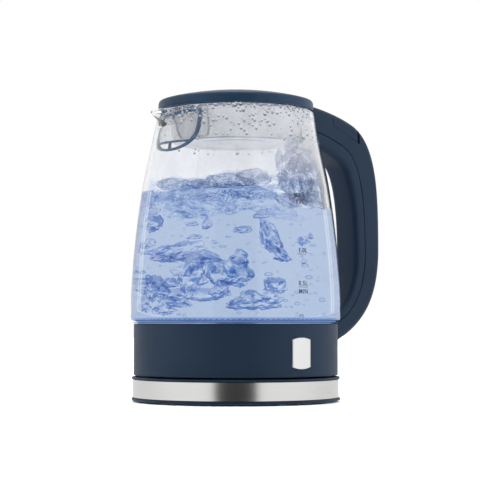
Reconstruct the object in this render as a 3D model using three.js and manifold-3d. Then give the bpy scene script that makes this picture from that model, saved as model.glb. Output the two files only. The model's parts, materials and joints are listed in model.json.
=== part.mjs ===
// Electric kettle: a glass jug with a plastic collar, handle and lid, standing on a round power base.
// Millimetres, +Z up. The origin is on the jug's axis in the plane the feet stand on.
// +X runs to the handle, -X to the spout, and -Y is the side with the level marks and the badge.
import * as THREE from 'three';
import { mergeVertices } from 'three/addons/utils/BufferGeometryUtils.js';
import Module from 'manifold-3d';

const wasm = await Module();
wasm.setup();

// ---------- driving dimensions ----------
const GAP = 0.3; // clearance between neighbouring pieces
const ROUND = 36; // sides of the large turned pieces
const MEDIUM = 24; // sides of the connector pieces
const SMALL = 10; // sides of screws, pins and feet

const BASE_RADIUS = 82.5;
const BASE_LOW = 1.2; // underside of the base above the table
const BASE_FLOOR = 3.2;
const BAND_RADIUS = 81.6;
const BAND_WALL = 0.8;
const BAND_LOW = 3.5;
const BAND_HIGH = 17.7;
const DECK_UNDER = 17.9;
const DECK_TOP = 19.7;
const FOOT_RADIUS = 6;
const FOOT_RING = 67;
const GLAND_Z = 9.6;

const COLLAR_RADIUS = 80.9;
const COLLAR_WALL = 2.3;
const COLLAR_LOW = 20.9;
const COLLAR_HIGH = 61.4;
const COVER_LOW = 21.2; // jug bottom cover
const COVER_HIGH = 23.2;
const COVER_RADIUS = COLLAR_RADIUS - COLLAR_WALL - 0.4;
const LAMP_RING = 63;
const BADGE_SIZE = { width: 17.6, height: 24, middle: 39 };

const GLASS_WALL = 3;
const GLASS_FOOT_RADIUS = 77.6;
const GLASS_FOOT_LOW = 55.5;
const RIM_RADIUS = 62;
const RIM_Z = 229.7;
const SPOUT_REACH = 18.5; // how far the lip stands out past the rim
const SPOUT_HALF_ANGLE = 25; // degrees each side of -X
const SPOUT_LOW = 213;
const SPOUT_DIP = 3.5;

const LID_RADIUS = 62;
const LID_LOW = 230.8;
const LID_SHOULDER = 236.6;
const LID_TOP = 246.2;
const LID_WALL = 2.2;
const LINER_LOW = 204.2;

const FILTER_HALF = 26;
const FILTER_LOW = 194.6;
const FILTER_TOP = 226;

const HANDLE_WIDTH = 27;
const HANDLE_ROUNDING = 6.5;
const CAVITY_WIDTH = 21;
const OUTER_STRIP = [0.36, 1.25]; // how far the outer shell and the inner cover reach across the grip
const INNER_STRIP = [-0.25, 0.345];
const HINGE_X = 69.5;
const HINGE_Z = 235.5;
const PIN_RADIUS = 1.5;
const KNUCKLE_RADIUS = 3.9;
const KNUCKLE_HALF = 8.6; // half length along Y
const STEAM_Z = 216.5; // steam hole through the glass
const STEAM_HOLE_RADIUS = 4;
const STEAM_TUBE_RADIUS = 2.6;
const STEAM_EXIT_Z = 49.6;
const STEAM_EXIT_RADIUS = 3.4;
const ROOT_SCREW_Z = 47.6;

const RELEASE_FRONT = 92; // thumb slide of the lid release, let into the top of the grip
const RELEASE_BACK = 119;
const RELEASE_SEAM_Z = 225.4; // height of its side seam at the front end
const RELEASE_FALL = 0.459; // how far the seam drops for each millimetre towards the back
const RELEASE_TRAVEL = 2;

const POST_RADIUS = 13.5; // round connector post on the base
const POST_TOP = 31;
const SOCKET_CEILING = 33.5;
const NEUTRAL_RING = [5.5, 6.5];
const EARTH_RING = [10.3, 11.3];

const LEVER_PIVOT_X = 66;
const LEVER_PIVOT_Z = 32.5;

// ---------- materials ----------
const NAVY = { color: 0x26405a, roughness: 0.55, metalness: 0 };
const NAVY_INSIDE = { color: 0x22384e, roughness: 0.6, metalness: 0 };
const STEEL = { color: 0xc4c6c8, roughness: 0.3, metalness: 1 };
const GLASS = { color: 0xdfeef6, roughness: 0.05, metalness: 0, transparent: true, opacity: 0.35 };
const SILICONE = { color: 0xe6e8ea, roughness: 0.6, metalness: 0 };
const RUBBER = { color: 0x1d1f22, roughness: 0.8, metalness: 0 };
const BRASS = { color: 0xc9a25a, roughness: 0.35, metalness: 1 };
const ALUMINIUM = { color: 0xb9bcc0, roughness: 0.45, metalness: 1 };
const BLACK_PLASTIC = { color: 0x202327, roughness: 0.5, metalness: 0 };
const BADGE = { color: 0xf2f4f6, roughness: 0.25, metalness: 0 };
const LIGHT_GUIDE = { color: 0xbfe0ff, roughness: 0.3, metalness: 0 };
const BOARD = { color: 0x2f6b45, roughness: 0.6, metalness: 0 };

const kettle = new THREE.Group();

function add(name, geometry, look) {
  const mesh = new THREE.Mesh(geometry, new THREE.MeshStandardMaterial(look));
  mesh.name = name;
  kettle.add(mesh);
  return mesh;
}

// ---------- solid helpers ----------
function toSolid(geometry) {
  const bare = geometry.clone();
  bare.deleteAttribute('normal');
  bare.deleteAttribute('uv');
  const merged = mergeVertices(bare, 1e-4);
  return new wasm.Manifold(new wasm.Mesh({
    numProp: 3,
    vertProperties: new Float32Array(merged.attributes.position.array),
    triVerts: new Uint32Array(merged.index.array),
  }));
}

function fromSolid(solid) {
  const mesh = solid.getMesh();
  const geometry = new THREE.BufferGeometry();
  geometry.setAttribute('position', new THREE.BufferAttribute(mesh.vertProperties, 3));
  geometry.setIndex(new THREE.BufferAttribute(mesh.triVerts, 1));
  geometry.computeVertexNormals();
  return geometry;
}

function cut(geometry, ...tools) {
  return fromSolid(tools.reduce((solid, tool) => solid.subtract(toSolid(tool)), toSolid(geometry)));
}

function join(geometry, ...others) {
  return fromSolid(others.reduce((solid, other) => solid.add(toSolid(other)), toSolid(geometry)));
}

function keep(geometry, mask) {
  return fromSolid(toSolid(geometry).intersect(toSolid(mask)));
}

// Turned piece about Z from [radius, height] pairs; it closes on itself unless it ends on the axis.
function turned(pairs, sides = ROUND) {
  const points = pairs.map(([radius, height]) => new THREE.Vector2(radius, height));
  if (THREE.ShapeUtils.area(points) < 0) points.reverse();
  const solidCore = points[0].x === 0 && points[points.length - 1].x === 0;
  if (!solidCore) points.push(points[0].clone());
  return new THREE.LatheGeometry(points, sides).rotateX(Math.PI / 2);
}

function tubeWall([inner, outer], low, high, sides = ROUND) {
  return turned([[inner, low], [outer, low], [outer, high], [inner, high]], sides);
}

function upright(radius, low, high, x = 0, y = 0, sides = SMALL) {
  const geometry = new THREE.CylinderGeometry(radius, radius, high - low, sides).rotateX(Math.PI / 2);
  return geometry.translate(x, y, (low + high) / 2);
}

function alongX(radius, from, to, y, z, sides = SMALL) {
  const geometry = new THREE.CylinderGeometry(radius, radius, to - from, sides).rotateZ(Math.PI / 2);
  return geometry.translate((from + to) / 2, y, z);
}

function alongY(radius, from, to, x, z, sides = SMALL) {
  return new THREE.CylinderGeometry(radius, radius, to - from, sides).translate(x, (from + to) / 2, z);
}

function block(x0, x1, y0, y1, z0, z1) {
  const geometry = new THREE.BoxGeometry(x1 - x0, y1 - y0, z1 - z0);
  return geometry.translate((x0 + x1) / 2, (y0 + y1) / 2, (z0 + z1) / 2);
}

// Extrudes an outline drawn in X and Z across Y, centred on Y = 0.
function acrossY(points, width, rounding = 0) {
  const geometry = new THREE.ExtrudeGeometry(new THREE.Shape(points), {
    depth: width - 2 * rounding,
    bevelEnabled: rounding > 0,
    bevelThickness: rounding,
    bevelSize: rounding,
    bevelOffset: -rounding,
    bevelSegments: 2,
  });
  return geometry.translate(0, 0, rounding - width / 2).rotateX(Math.PI / 2);
}

function ringPoints(count, radius, startDegrees) {
  return Array.from({ length: count }, (_, i) => {
    const angle = THREE.MathUtils.degToRad(startDegrees + (360 / count) * i);
    return [radius * Math.cos(angle), radius * Math.sin(angle)];
  });
}

// Screw with its head down at z = 0 and its shank rising; a slot crosses the head.
function screw(headRadius, headHeight, shankRadius, length) {
  const body = turned([
    [0, 0], [headRadius, 0], [headRadius, headHeight], [shankRadius, headHeight],
    [shankRadius, length - 1], [0, length],
  ], SMALL);
  return cut(body, block(-headRadius, headRadius, -0.4, 0.4, -1, 0.6));
}

class Helix extends THREE.Curve {
  constructor(radius, height, turns) {
    super();
    Object.assign(this, { radius, height, turns });
  }

  getPoint(t, target = new THREE.Vector3()) {
    const angle = 2 * Math.PI * this.turns * t;
    return target.set(this.radius * Math.cos(angle), this.radius * Math.sin(angle), this.height * t);
  }
}

function wireAlong(path, radius, steps, sides = 8, boreRadius = 0) {
  const section = new THREE.Shape().absarc(0, 0, radius, 0, 2 * Math.PI);
  if (boreRadius > 0) section.holes.push(new THREE.Path().absarc(0, 0, boreRadius, 0, 2 * Math.PI, true));
  return new THREE.ExtrudeGeometry(section, { steps, extrudePath: path, curveSegments: sides });
}

// ---------- glass wall ----------
const wallCurve = new THREE.SplineCurve([
  new THREE.Vector2(82.2, 63.4),
  new THREE.Vector2(83.3, 77),
  new THREE.Vector2(82.4, 98),
  new THREE.Vector2(80.1, 126),
  new THREE.Vector2(76.9, 152),
  new THREE.Vector2(73, 177),
  new THREE.Vector2(67.4, 203),
  new THREE.Vector2(RIM_RADIUS, RIM_Z),
]);
const wallPoints = wallCurve.getPoints(10);

function glassRadius(z) {
  const upper = wallPoints.findIndex((point) => point.y >= z);
  if (upper === 0) return wallPoints[0].x;
  if (upper < 0) return RIM_RADIUS;
  const [low, high] = [wallPoints[upper - 1], wallPoints[upper]];
  return THREE.MathUtils.mapLinear(z, low.y, high.y, low.x, high.x);
}

// Shell that follows the glass between two heights; offsets are measured from the glass outside.
function alongGlass(offsetIn, offsetOut, low, high, steps = 4) {
  const heights = Array.from({ length: steps + 1 }, (_, i) => THREE.MathUtils.lerp(low, high, i / steps));
  const outside = heights.map((z) => [glassRadius(z) + offsetOut, z]);
  const inside = heights.map((z) => [glassRadius(z) + offsetIn, z]);
  return turned([...outside, ...inside.reverse()]);
}

function pullSpout(geometry) {
  const position = geometry.attributes.position;
  const half = THREE.MathUtils.degToRad(SPOUT_HALF_ANGLE);
  for (let i = 0; i < position.count; i += 1) {
    const point = new THREE.Vector3().fromBufferAttribute(position, i);
    const angle = Math.abs(Math.atan2(point.y, -point.x));
    const rise = THREE.MathUtils.smoothstep(point.z, SPOUT_LOW, RIM_Z);
    if (angle < half && rise > 0) {
      const lip = Math.cos((angle / half) * (Math.PI / 2)) ** 2 * rise;
      const radius = Math.hypot(point.x, point.y);
      const scale = (radius + SPOUT_REACH * lip) / radius;
      position.setXYZ(i, point.x * scale, point.y * scale, point.z - SPOUT_DIP * lip);
    }
  }
  return geometry;
}

function glassJug() {
  const outside = wallPoints.map((point) => [point.x, point.y]);
  const inside = wallPoints.map((point) => [point.x - GLASS_WALL, point.y]).reverse();
  const footIn = GLASS_FOOT_RADIUS - GLASS_WALL;
  const body = turned([
    [footIn, GLASS_FOOT_LOW], [GLASS_FOOT_RADIUS, GLASS_FOOT_LOW], [GLASS_FOOT_RADIUS, 61.8],
    [80.6, 61.9], ...outside, ...inside, [77, 62.4], [footIn, 61.4],
  ]);
  const holes = [0, -8, 8].map((y) => alongX(y === 0 ? STEAM_HOLE_RADIUS : 2, 50, 75, y, STEAM_Z));
  return cut(pullSpout(body), ...holes);
}

// ---------- power base ----------
function glandHole() {
  return alongY(4.9, 70, 90, 0, GLAND_Z, MEDIUM);
}

const baseScrews = ringPoints(3, 56, 30);
const baseFeet = ringPoints(3, FOOT_RING, 270);

function baseBottomCover() {
  const wall = [BAND_RADIUS - BAND_WALL - 5.9, BAND_RADIUS - BAND_WALL - 3.6];
  const pan = turned([
    [0, BASE_LOW], [BASE_RADIUS - 0.6, BASE_LOW], [BASE_RADIUS, BASE_LOW + 0.6],
    [BASE_RADIUS, BASE_FLOOR - 0.3], [BASE_RADIUS - 0.3, BASE_FLOOR], [wall[1], BASE_FLOOR],
    [wall[1], 9], [wall[0], 9], [wall[0], BASE_FLOOR], [0, BASE_FLOOR],
  ]);
  const bosses = baseScrews.map(([x, y]) => upright(5, BASE_FLOOR - 1, 5, x, y));
  const recesses = baseScrews.map(([x, y]) => upright(3, 0, 3.4, x, y));
  const holes = baseScrews.map(([x, y]) => upright(1.5, 0, 8, x, y));
  const seats = baseFeet.map(([x, y]) => upright(FOOT_RADIUS + GAP, 0, 2, x, y, 20));
  const slit = block(-BASE_RADIUS - 1, -BASE_RADIUS + 2, -3, 3, 1.9, 2.6);
  slit.rotateZ(THREE.MathUtils.degToRad(10));
  return cut(join(pan, ...bosses), ...recesses, ...holes, ...seats, slit, glandHole());
}

function baseUpperShell() {
  const wall = [BAND_RADIUS - BAND_WALL - 3.2, BAND_RADIUS - BAND_WALL - 0.4];
  const shell = turned([
    [POST_RADIUS + 0.6, DECK_UNDER], [wall[0], DECK_UNDER], [wall[0], 6.2], [wall[1], 6.2],
    [wall[1], DECK_UNDER + 0.1], [BASE_RADIUS, DECK_UNDER + 0.1], [BASE_RADIUS, DECK_TOP - 0.8],
    [BASE_RADIUS - 0.8, DECK_TOP], [POST_RADIUS + 0.6, DECK_TOP],
  ]);
  const bosses = baseScrews.map(([x, y]) => upright(3.6, 5.3, DECK_UNDER + 0.5, x, y));
  const holes = baseScrews.map(([x, y]) => upright(1.4, 0, 16, x, y));
  return cut(join(shell, ...bosses), ...holes, glandHole());
}

function baseSteelBand() {
  return cut(tubeWall([BAND_RADIUS - BAND_WALL, BAND_RADIUS], BAND_LOW, BAND_HIGH), glandHole());
}

function connectorPost() {
  const grooveFloor = 21.5;
  return turned([
    [2.6, 8], [POST_RADIUS, 8], [POST_RADIUS, 14.2], [20, 14.2], [20, 16.4], [POST_RADIUS, 16.4],
    [POST_RADIUS, POST_TOP], [12, POST_TOP], [12, grooveFloor], [9.6, grooveFloor], [9.6, POST_TOP],
    [7.4, POST_TOP], [7.4, grooveFloor], [4.6, grooveFloor], [4.6, POST_TOP], [2.6, POST_TOP],
  ], MEDIUM);
}

function cordGland() {
  const bushing = turned([
    [3.4, 0], [6.2, 0], [6.2, 1.8], [4.6, 1.8], [4.6, 11], [3.4, 11],
  ], 20);
  return bushing.rotateX(-Math.PI / 2).translate(0, 71.3, GLAND_Z);
}

add('base_bottom_cover', baseBottomCover(), NAVY);
add('base_steel_band', baseSteelBand(), STEEL);
add('base_upper_shell', baseUpperShell(), NAVY);
baseScrews.forEach(([x, y], i) => {
  add(`base_screw_${i + 1}`, screw(2.6, 1.4, 1.1, 12), STEEL).position.set(x, y, 1.7);
});
baseFeet.forEach(([x, y], i) => {
  add(`base_foot_${i + 1}`, upright(FOOT_RADIUS, 0, 1.7, x, y, 20), RUBBER);
});
add('base_connector_post', connectorPost(), BLACK_PLASTIC);
add('base_live_contact', upright(1.6, 9, 20.6), BRASS);
add('base_neutral_contact', block(5.2, 6.8, -1.5, 1.5, 21.8, 23), BRASS);
add('base_earth_contact', block(10, 11.6, -1.5, 1.5, 21.8, 23), BRASS);
add('base_cord_gland', cordGland(), RUBBER);

// ---------- jug bottom, heater and connector ----------
const coverScrews = ringPoints(3, 75, 60);
const lampSpots = ringPoints(3, LAMP_RING, 180);

function jugCollar() {
  const inner = COLLAR_RADIUS - COLLAR_WALL;
  const wall = turned([
    [inner, COLLAR_LOW], [COLLAR_RADIUS - 0.5, COLLAR_LOW], [COLLAR_RADIUS, COLLAR_LOW + 0.6],
    [COLLAR_RADIUS, COLLAR_HIGH - 0.6], [COLLAR_RADIUS - 0.6, COLLAR_HIGH], [inner, COLLAR_HIGH],
  ]);
  const lugs = coverScrews.map(([x, y]) => upright(3.9, 24.9, 34, x, y));
  const lugHoles = coverScrews.map(([x, y]) => upright(1.4, 20, 33, x, y));
  const badgeSeat = alongBadge(BADGE_SIZE.width + 2 * GAP, BADGE_SIZE.height + 2 * GAP, [79.9, 83]);
  const leverSlot = block(70, 90, -9.8, 9.8, 28.5, 39.4);
  const steamHole = alongX(STEAM_EXIT_RADIUS, 70, 90, 0, STEAM_EXIT_Z);
  const screwHoles = [-8, 8].map((y) => alongX(1.7, 70, 90, y, ROOT_SCREW_Z));
  return cut(join(wall, ...lugs), ...lugHoles, badgeSeat, leverSlot, steamHole, ...screwHoles);
}

// Blank badge: an upright plate with gently arched ends, bent to the collar.
function alongBadge(width, height, [from, to]) {
  const arch = 1.6;
  const [w, h] = [width / 2, height / 2];
  const outline = new THREE.Shape();
  outline.moveTo(-w, -h + arch);
  outline.quadraticCurveTo(0, -h - arch, w, -h + arch);
  outline.lineTo(w, h - arch);
  outline.quadraticCurveTo(0, h + arch, -w, h - arch);
  outline.closePath();
  const prism = new THREE.ExtrudeGeometry(outline, { depth: 30, bevelEnabled: false, curveSegments: 6 });
  prism.rotateX(Math.PI / 2).translate(0, -65, BADGE_SIZE.middle);
  return keep(tubeWall([from, to], 20, 60, 2 * ROUND), prism);
}

function bottomCover() {
  const disc = turned([
    [17.6, COVER_LOW], [60, COVER_LOW], [60, 20], [66, 20], [66, COVER_LOW],
    [COVER_RADIUS, COVER_LOW], [COVER_RADIUS, COVER_HIGH], [17.6, COVER_HIGH],
  ]);
  const bosses = coverScrews.map(([x, y]) => upright(3.1, COVER_HIGH - 1, 24.6, x, y));
  const posts = lampSpots.map(([x, y]) => upright(2.5, COVER_HIGH - 1, 43.7, x, y));
  const cheeks = [-1, 1].map((side) => {
    const [near, far] = [5 * side, 8 * side].sort((a, b) => a - b);
    return block(LEVER_PIVOT_X - 3.4, LEVER_PIVOT_X + 3.4, near, far, COVER_HIGH - 1, 36.4);
  });
  const recesses = coverScrews.map(([x, y]) => upright(2.7, 19, 23, x, y));
  const holes = coverScrews.map(([x, y]) => upright(1.5, 19, 26, x, y));
  const pivotHole = alongY(PIN_RADIUS + GAP, -12, 12, LEVER_PIVOT_X, LEVER_PIVOT_Z);
  return cut(join(disc, ...bosses, ...posts, ...cheeks), ...recesses, ...holes, pivotHole);
}

function heatingPlate() {
  return turned([
    [0, 59.8], [72.2, 59.8], [72.2, 50], [73.2, 50], [73.2, 60.2], [72.6, 60.8], [0, 60.8],
  ]);
}

function heatingElement() {
  const loop = new THREE.EllipseCurve(0, 0, 40, 40, -0.83 * Math.PI, 0.83 * Math.PI);
  const path = new THREE.CatmullRomCurve3(loop.getPoints(20).map((p) => new THREE.Vector3(p.x, p.y, 52.6)));
  return wireAlong(path, 3.3, 20, 4);
}

function controlUnit() {
  return turned([
    [0, SOCKET_CEILING], [14.4, SOCKET_CEILING], [14.4, 22], [17, 22], [17, 25.2], [26, 25.2],
    [26, 44], [23, 47], [0, 47],
  ], MEDIUM);
}

function switchLever() {
  const outline = [
    [33, 31], [60, 31], [64, 29.3], [68, 29.3], [72, 31], [80, 30.6], [90, 28.8],
    [90.6, 31.6], [83, 34.4], [72, 34], [68, 35.8], [64, 35.8], [60, 34], [33, 33.6],
  ].map(([x, z]) => new THREE.Vector2(x, z));
  const arm = acrossY(outline.filter((point) => point.x <= 80 || point.x === 83), 9);
  const paddle = acrossY(outline.filter((point) => point.x >= 72), 18);
  return cut(join(arm, paddle), alongY(PIN_RADIUS + GAP, -12, 12, LEVER_PIVOT_X, LEVER_PIVOT_Z));
}

add('glass_jug', glassJug(), GLASS);
add('jug_collar', jugCollar(), NAVY);
add('badge_plate', alongBadge(BADGE_SIZE.width, BADGE_SIZE.height, [80.2, 81.5]), BADGE);
add('light_ring', tubeWall([74.9, 77.3], 52.3, 55.2), LIGHT_GUIDE);
add('heating_plate', heatingPlate(), STEEL);
add('plate_seal', tubeWall([73.5, 74.3], 51, 60.9), SILICONE);
add('heat_spreader', turned([[0, 56.2], [48, 56.2], [48, 59.5], [0, 59.5]]), ALUMINIUM);
add('heating_element', heatingElement(), STEEL);
[-1, 1].forEach((side, i) => {
  const [x, y] = [40 * Math.cos(0.8 * Math.PI), 40 * Math.sin(0.8 * Math.PI) * side];
  add(`element_terminal_${i + 1}`, upright(1.8, 43, 48.9, x, y), BRASS);
});
add('control_unit', controlUnit(), BLACK_PLASTIC);
[-12, 12].forEach((x, i) => {
  add(`bimetal_disc_${i + 1}`, turned([[0, 47.3], [9, 47.3], [9, 47.9], [0, 48.9]], 20), STEEL).position.x = x;
});
add('live_pin', upright(1.5, 21.2, SOCKET_CEILING - GAP), BRASS);
add('neutral_ring', tubeWall(NEUTRAL_RING, 23.4, SOCKET_CEILING - GAP, MEDIUM), BRASS);
add('earth_ring', tubeWall(EARTH_RING, 23.4, SOCKET_CEILING - GAP, MEDIUM), BRASS);
add('led_board', tubeWall([58, 68], 44, 45.6), BOARD);
lampSpots.forEach(([x, y], i) => {
  add(`led_${i + 1}`, turned([[0, 45.9], [2.5, 45.9], [2.5, 48.6], [1.6, 50], [0, 50.5]], SMALL), LIGHT_GUIDE)
    .position.set(x, y, 0);
});
add('jug_bottom_cover', bottomCover(), NAVY);
coverScrews.forEach(([x, y], i) => {
  add(`cover_screw_${i + 1}`, screw(2.3, 1.3, 1.1, 10.5), STEEL).position.set(x, y, 21.4);
});
add('switch_lever', switchLever(), NAVY);
add('lever_pin', alongY(PIN_RADIUS, -8.6, 8.6, LEVER_PIVOT_X, LEVER_PIVOT_Z), STEEL);

// ---------- handle ----------
function bezierRun(points) {
  const path = new THREE.CurvePath();
  for (let i = 0; i + 3 < points.length; i += 3) {
    path.add(new THREE.CubicBezierCurve(...points.slice(i, i + 4).map(([x, z]) => new THREE.Vector2(x, z))));
  }
  return path;
}

// Both sides of the grip, drawn from the lid end to the collar end.
const outerSide = bezierRun([
  [60, 241.6], [80, 239.4], [104, 234], [119.4, 225.6],
  [143.5, 209.5], [145.3, 172], [145.3, 125],
  [145.3, 86], [131, 63], [100.9, 48.3],
  [94, 45], [86, 41.6], [74, 39.8],
]);
const innerSide = bezierRun([
  [60, 210.5], [76, 207.5], [90, 201.5], [101, 194.5],
  [113, 186], [117.4, 150], [117.4, 119],
  [117.4, 90], [105, 72], [86, 67],
  [82, 66], [78, 65], [74, 64],
]);

// A strip of the grip's side view: 0 is its inner side and 1 its outer side.
function gripStrip(from, to, start = 0, end = 1, steps = 18) {
  const edge = (blend) => Array.from({ length: steps + 1 }, (_, i) => {
    const t = THREE.MathUtils.lerp(start, end, i / steps);
    return innerSide.getPoint(t).lerp(outerSide.getPoint(t), blend);
  });
  return [...edge(from), ...edge(to).reverse()];
}

// Everything the handle has to stay clear of: collar, glass with its gasket, and lid.
function jugClearance() {
  const sides = wallPoints.map((point) => [point.x + 1.3, point.y]);
  return turned([
    [0, 30], [COLLAR_RADIUS + GAP, 30], [COLLAR_RADIUS + GAP, COLLAR_HIGH + 0.2], [83.4, COLLAR_HIGH + 0.4],
    ...sides.slice(1), [LID_RADIUS + 2.4, RIM_Z + 0.2], [LID_RADIUS + 2.4, 250], [0, 250],
  ]);
}

function seamZ(x) {
  return RELEASE_SEAM_Z - RELEASE_FALL * (x - RELEASE_FRONT);
}

// Side view of the slide, or of its pocket when room is left below it and behind it.
function releaseOutline(room, travel) {
  const [front, back] = [RELEASE_FRONT - room, RELEASE_BACK + room + travel];
  return [[front, 250], [front, seamZ(front) - room], [back, seamZ(back) - room], [back, 250]]
    .map(([x, z]) => new THREE.Vector2(x, z));
}

const steamPath = new THREE.CatmullRomCurve3([
  [69, 0, STEAM_Z], [78, 0, STEAM_Z], [90, 6.5, 213], [104, 6.6, 208], [118, 6, 198], [127, 3, 180],
  [131, 0, 150], [131, 0, 112], [125, 0, 86], [111, 0, 66], [98, 0, 54.5], [89, 0, STEAM_EXIT_Z],
  [80, 0, STEAM_EXIT_Z],
].map((point) => new THREE.Vector3(...point)));

function gripSolids() {
  const whole = cut(acrossY(gripStrip(0, 1), HANDLE_WIDTH, HANDLE_ROUNDING), jugClearance());
  const hollow = cut(
    whole,
    acrossY(gripStrip(0.11, 0.89, 0.07, 0.945), CAVITY_WIDTH),
    alongX(STEAM_HOLE_RADIUS, 60, 84, 0, STEAM_Z),
    alongX(STEAM_EXIT_RADIUS, 76, 96, 0, STEAM_EXIT_Z),
    ...[-8, 8].map((y) => alongX(1.6, 60, 76, y, STEAM_Z)),
    ...[-8, 8].map((y) => alongX(1.6, 76, 91, y, ROOT_SCREW_Z)),
  );
  const slide = keep(whole, acrossY(releaseOutline(0, 0), 40));
  const outer = keep(hollow, acrossY(gripStrip(...OUTER_STRIP), 40));
  const cover = keep(hollow, acrossY(gripStrip(...INNER_STRIP), 40));
  return { slide, outer, cover };
}

// The shell carries a sloping track for the lid release, with a stop for its spring.
function handleShell(outer) {
  const track = acrossY(
    [[89, -0.7], [124, -0.7], [124, -2.5], [89, -2.5]].map(([x, z]) => new THREE.Vector2(x, seamZ(x) + z)),
    CAVITY_WIDTH + 1,
  );
  const springStop = block(112, 113.8, -3.4, 3.4, 214, 221);
  const slot = block(55, 75.2, -9, 9, 230.8, 250);
  const window = block(74, RELEASE_FRONT, -4.4, 4.4, 230.2, 235.3);
  const pinHole = alongY(PIN_RADIUS + GAP, -12.4, 12.4, HINGE_X, HINGE_Z);
  const pocket = acrossY(releaseOutline(0.35, RELEASE_TRAVEL), 40);
  return join(cut(outer, slot, window, pinHole, pocket), track, springStop);
}

function lidRelease(slide) {
  const hollow = acrossY(
    [[94.4, 200], [94.4, 233.6], [104, 231], [116.6, 224.2], [116.6, 200]].map(([x, z]) => new THREE.Vector2(x, z)),
    CAVITY_WIDTH,
  );
  const springTab = block(96.5, 98.3, -4, 4, seamZ(96.5), 233);
  return join(cut(slide, hollow), springTab);
}

function releaseSpring() {
  const coil = wireAlong(new Helix(2.6, 11, 5), 0.4, 45, 2);
  const slope = Math.atan(RELEASE_FALL);
  return coil.rotateY(Math.PI / 2 + slope).translate(100.2, 0, 224.8);
}

function lidSpring() {
  const coil = wireAlong(new Helix(2.7, 4.4, 4), 0.4, 36, 2);
  return coil.rotateX(-Math.PI / 2).translate(HINGE_X, -2.2, HINGE_Z);
}

function mountPatch(offsetIn, offsetOut, halfWidth, low, high) {
  const patch = keep(alongGlass(offsetIn, offsetOut, low, high), block(40, 90, -halfWidth, halfWidth, 190, 240));
  const holes = [-8, 8].map((y) => alongX(1.7, 40, 90, y, STEAM_Z));
  return cut(patch, alongX(STEAM_HOLE_RADIUS - 0.6, 40, 90, 0, STEAM_Z), ...holes);
}

const grip = gripSolids();
add('handle_shell', handleShell(grip.outer), NAVY);
add('handle_inner_cover', grip.cover, NAVY);
add('lid_release', lidRelease(grip.slide), NAVY);
add('release_spring', releaseSpring(), STEEL);
add('lid_latch', block(74, RELEASE_FRONT - GAP, -4, 4, 231.8, 234.8), BLACK_PLASTIC);
add('steam_tube', wireAlong(steamPath, STEAM_TUBE_RADIUS, 24, 4, STEAM_TUBE_RADIUS - 0.8), SILICONE);
add('handle_gasket', mountPatch(GAP, 1, 12, 210, 228), SILICONE);
add('steam_inlet_plate', mountPatch(-GLASS_WALL - 2.2, -GLASS_WALL - GAP, 13, 209, 226), NAVY_INSIDE);
[-8, 8].forEach((y, i) => {
  add(`handle_screw_${i + 1}`, screw(2.8, 1.4, 1.2, 17).rotateY(Math.PI / 2), STEEL).position.set(56, y, STEAM_Z);
});
[-8, 8].forEach((y, i) => {
  add(`root_screw_${i + 1}`, screw(2.8, 1.4, 1.2, 13.5).rotateY(Math.PI / 2), STEEL)
    .position.set(76, y, ROOT_SCREW_Z);
});
add('hinge_pin', alongY(PIN_RADIUS, -12.1, 12.1, HINGE_X, HINGE_Z), STEEL);
add('lid_spring', lidSpring(), STEEL);

// ---------- lid ----------
function lidCap() {
  const crown = 238.9; // height where the dome meets the rounded shoulder
  const reach = LID_RADIUS - 3;
  const domeRadius = (reach ** 2 + (LID_TOP - crown) ** 2) / (2 * (LID_TOP - crown));
  const dome = (radius, drop) => [radius, LID_TOP - drop - (domeRadius - Math.sqrt(domeRadius ** 2 - radius ** 2))];
  const inner = LID_RADIUS - LID_WALL;
  const cap = turned([
    dome(0, 0), dome(20, 0), dome(38, 0), dome(50, 0), dome(reach, 0), [61.2, 238], [LID_RADIUS, LID_SHOULDER],
    [LID_RADIUS, LID_LOW], [inner, LID_LOW], [inner, LID_SHOULDER - 1], dome(50, LID_WALL), dome(38, LID_WALL),
    dome(0, LID_WALL),
  ]);
  const arm = block(60.5, HINGE_X, -KNUCKLE_HALF, KNUCKLE_HALF, 232.2, 238.4);
  const knuckle = alongY(KNUCKLE_RADIUS, -KNUCKLE_HALF, KNUCKLE_HALF, HINGE_X, HINGE_Z, 20);
  const springRoom = block(64.8, 80, -3, 3, 225, 245);
  const pinHole = alongY(PIN_RADIUS + GAP, -20, 20, HINGE_X, HINGE_Z);
  return cut(join(cap, arm, knuckle), springRoom, pinHole);
}

function lidLiner() {
  const wall = 0.7;
  return turned([
    [0, LINER_LOW], [49.6, LINER_LOW], [50, LINER_LOW + 0.4], [53.3, 225], [53.9, 230], [53.9, 230.7],
    [53.3 - wall, 230.7], [53.3 - wall, 225], [50 - wall, LINER_LOW + wall], [0, LINER_LOW + wall],
  ]);
}

add('lid_cap', lidCap(), NAVY);
add('lid_base', turned([[0, 231], [59.4, 231], [59.4, 233.2], [0, 233.2]]), NAVY_INSIDE);
add('lid_liner', lidLiner(), STEEL);
add('lid_seal', turned([[54.3, 227], [57.4, 226.4], [58.2, 227.4], [57.2, 230.7], [54.3, 230.7]]), SILICONE);

// ---------- spout filter ----------
function filterWindow(inset) {
  const [half, low, high] = [FILTER_HALF - inset, FILTER_LOW + inset, FILTER_TOP - inset];
  const straight = 213;
  const outline = new THREE.Shape();
  outline.moveTo(-half, high);
  outline.lineTo(-half, straight);
  outline.bezierCurveTo(-half, low + 5, -half * 0.6, low, 0, low);
  outline.bezierCurveTo(half * 0.6, low, half, low + 5, half, straight);
  outline.lineTo(half, high);
  outline.closePath();
  const prism = new THREE.ExtrudeGeometry(outline, { depth: 40, bevelEnabled: false, curveSegments: 8 });
  return prism.rotateX(Math.PI / 2).rotateZ(-Math.PI / 2).translate(-45, 0, 0);
}

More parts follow.
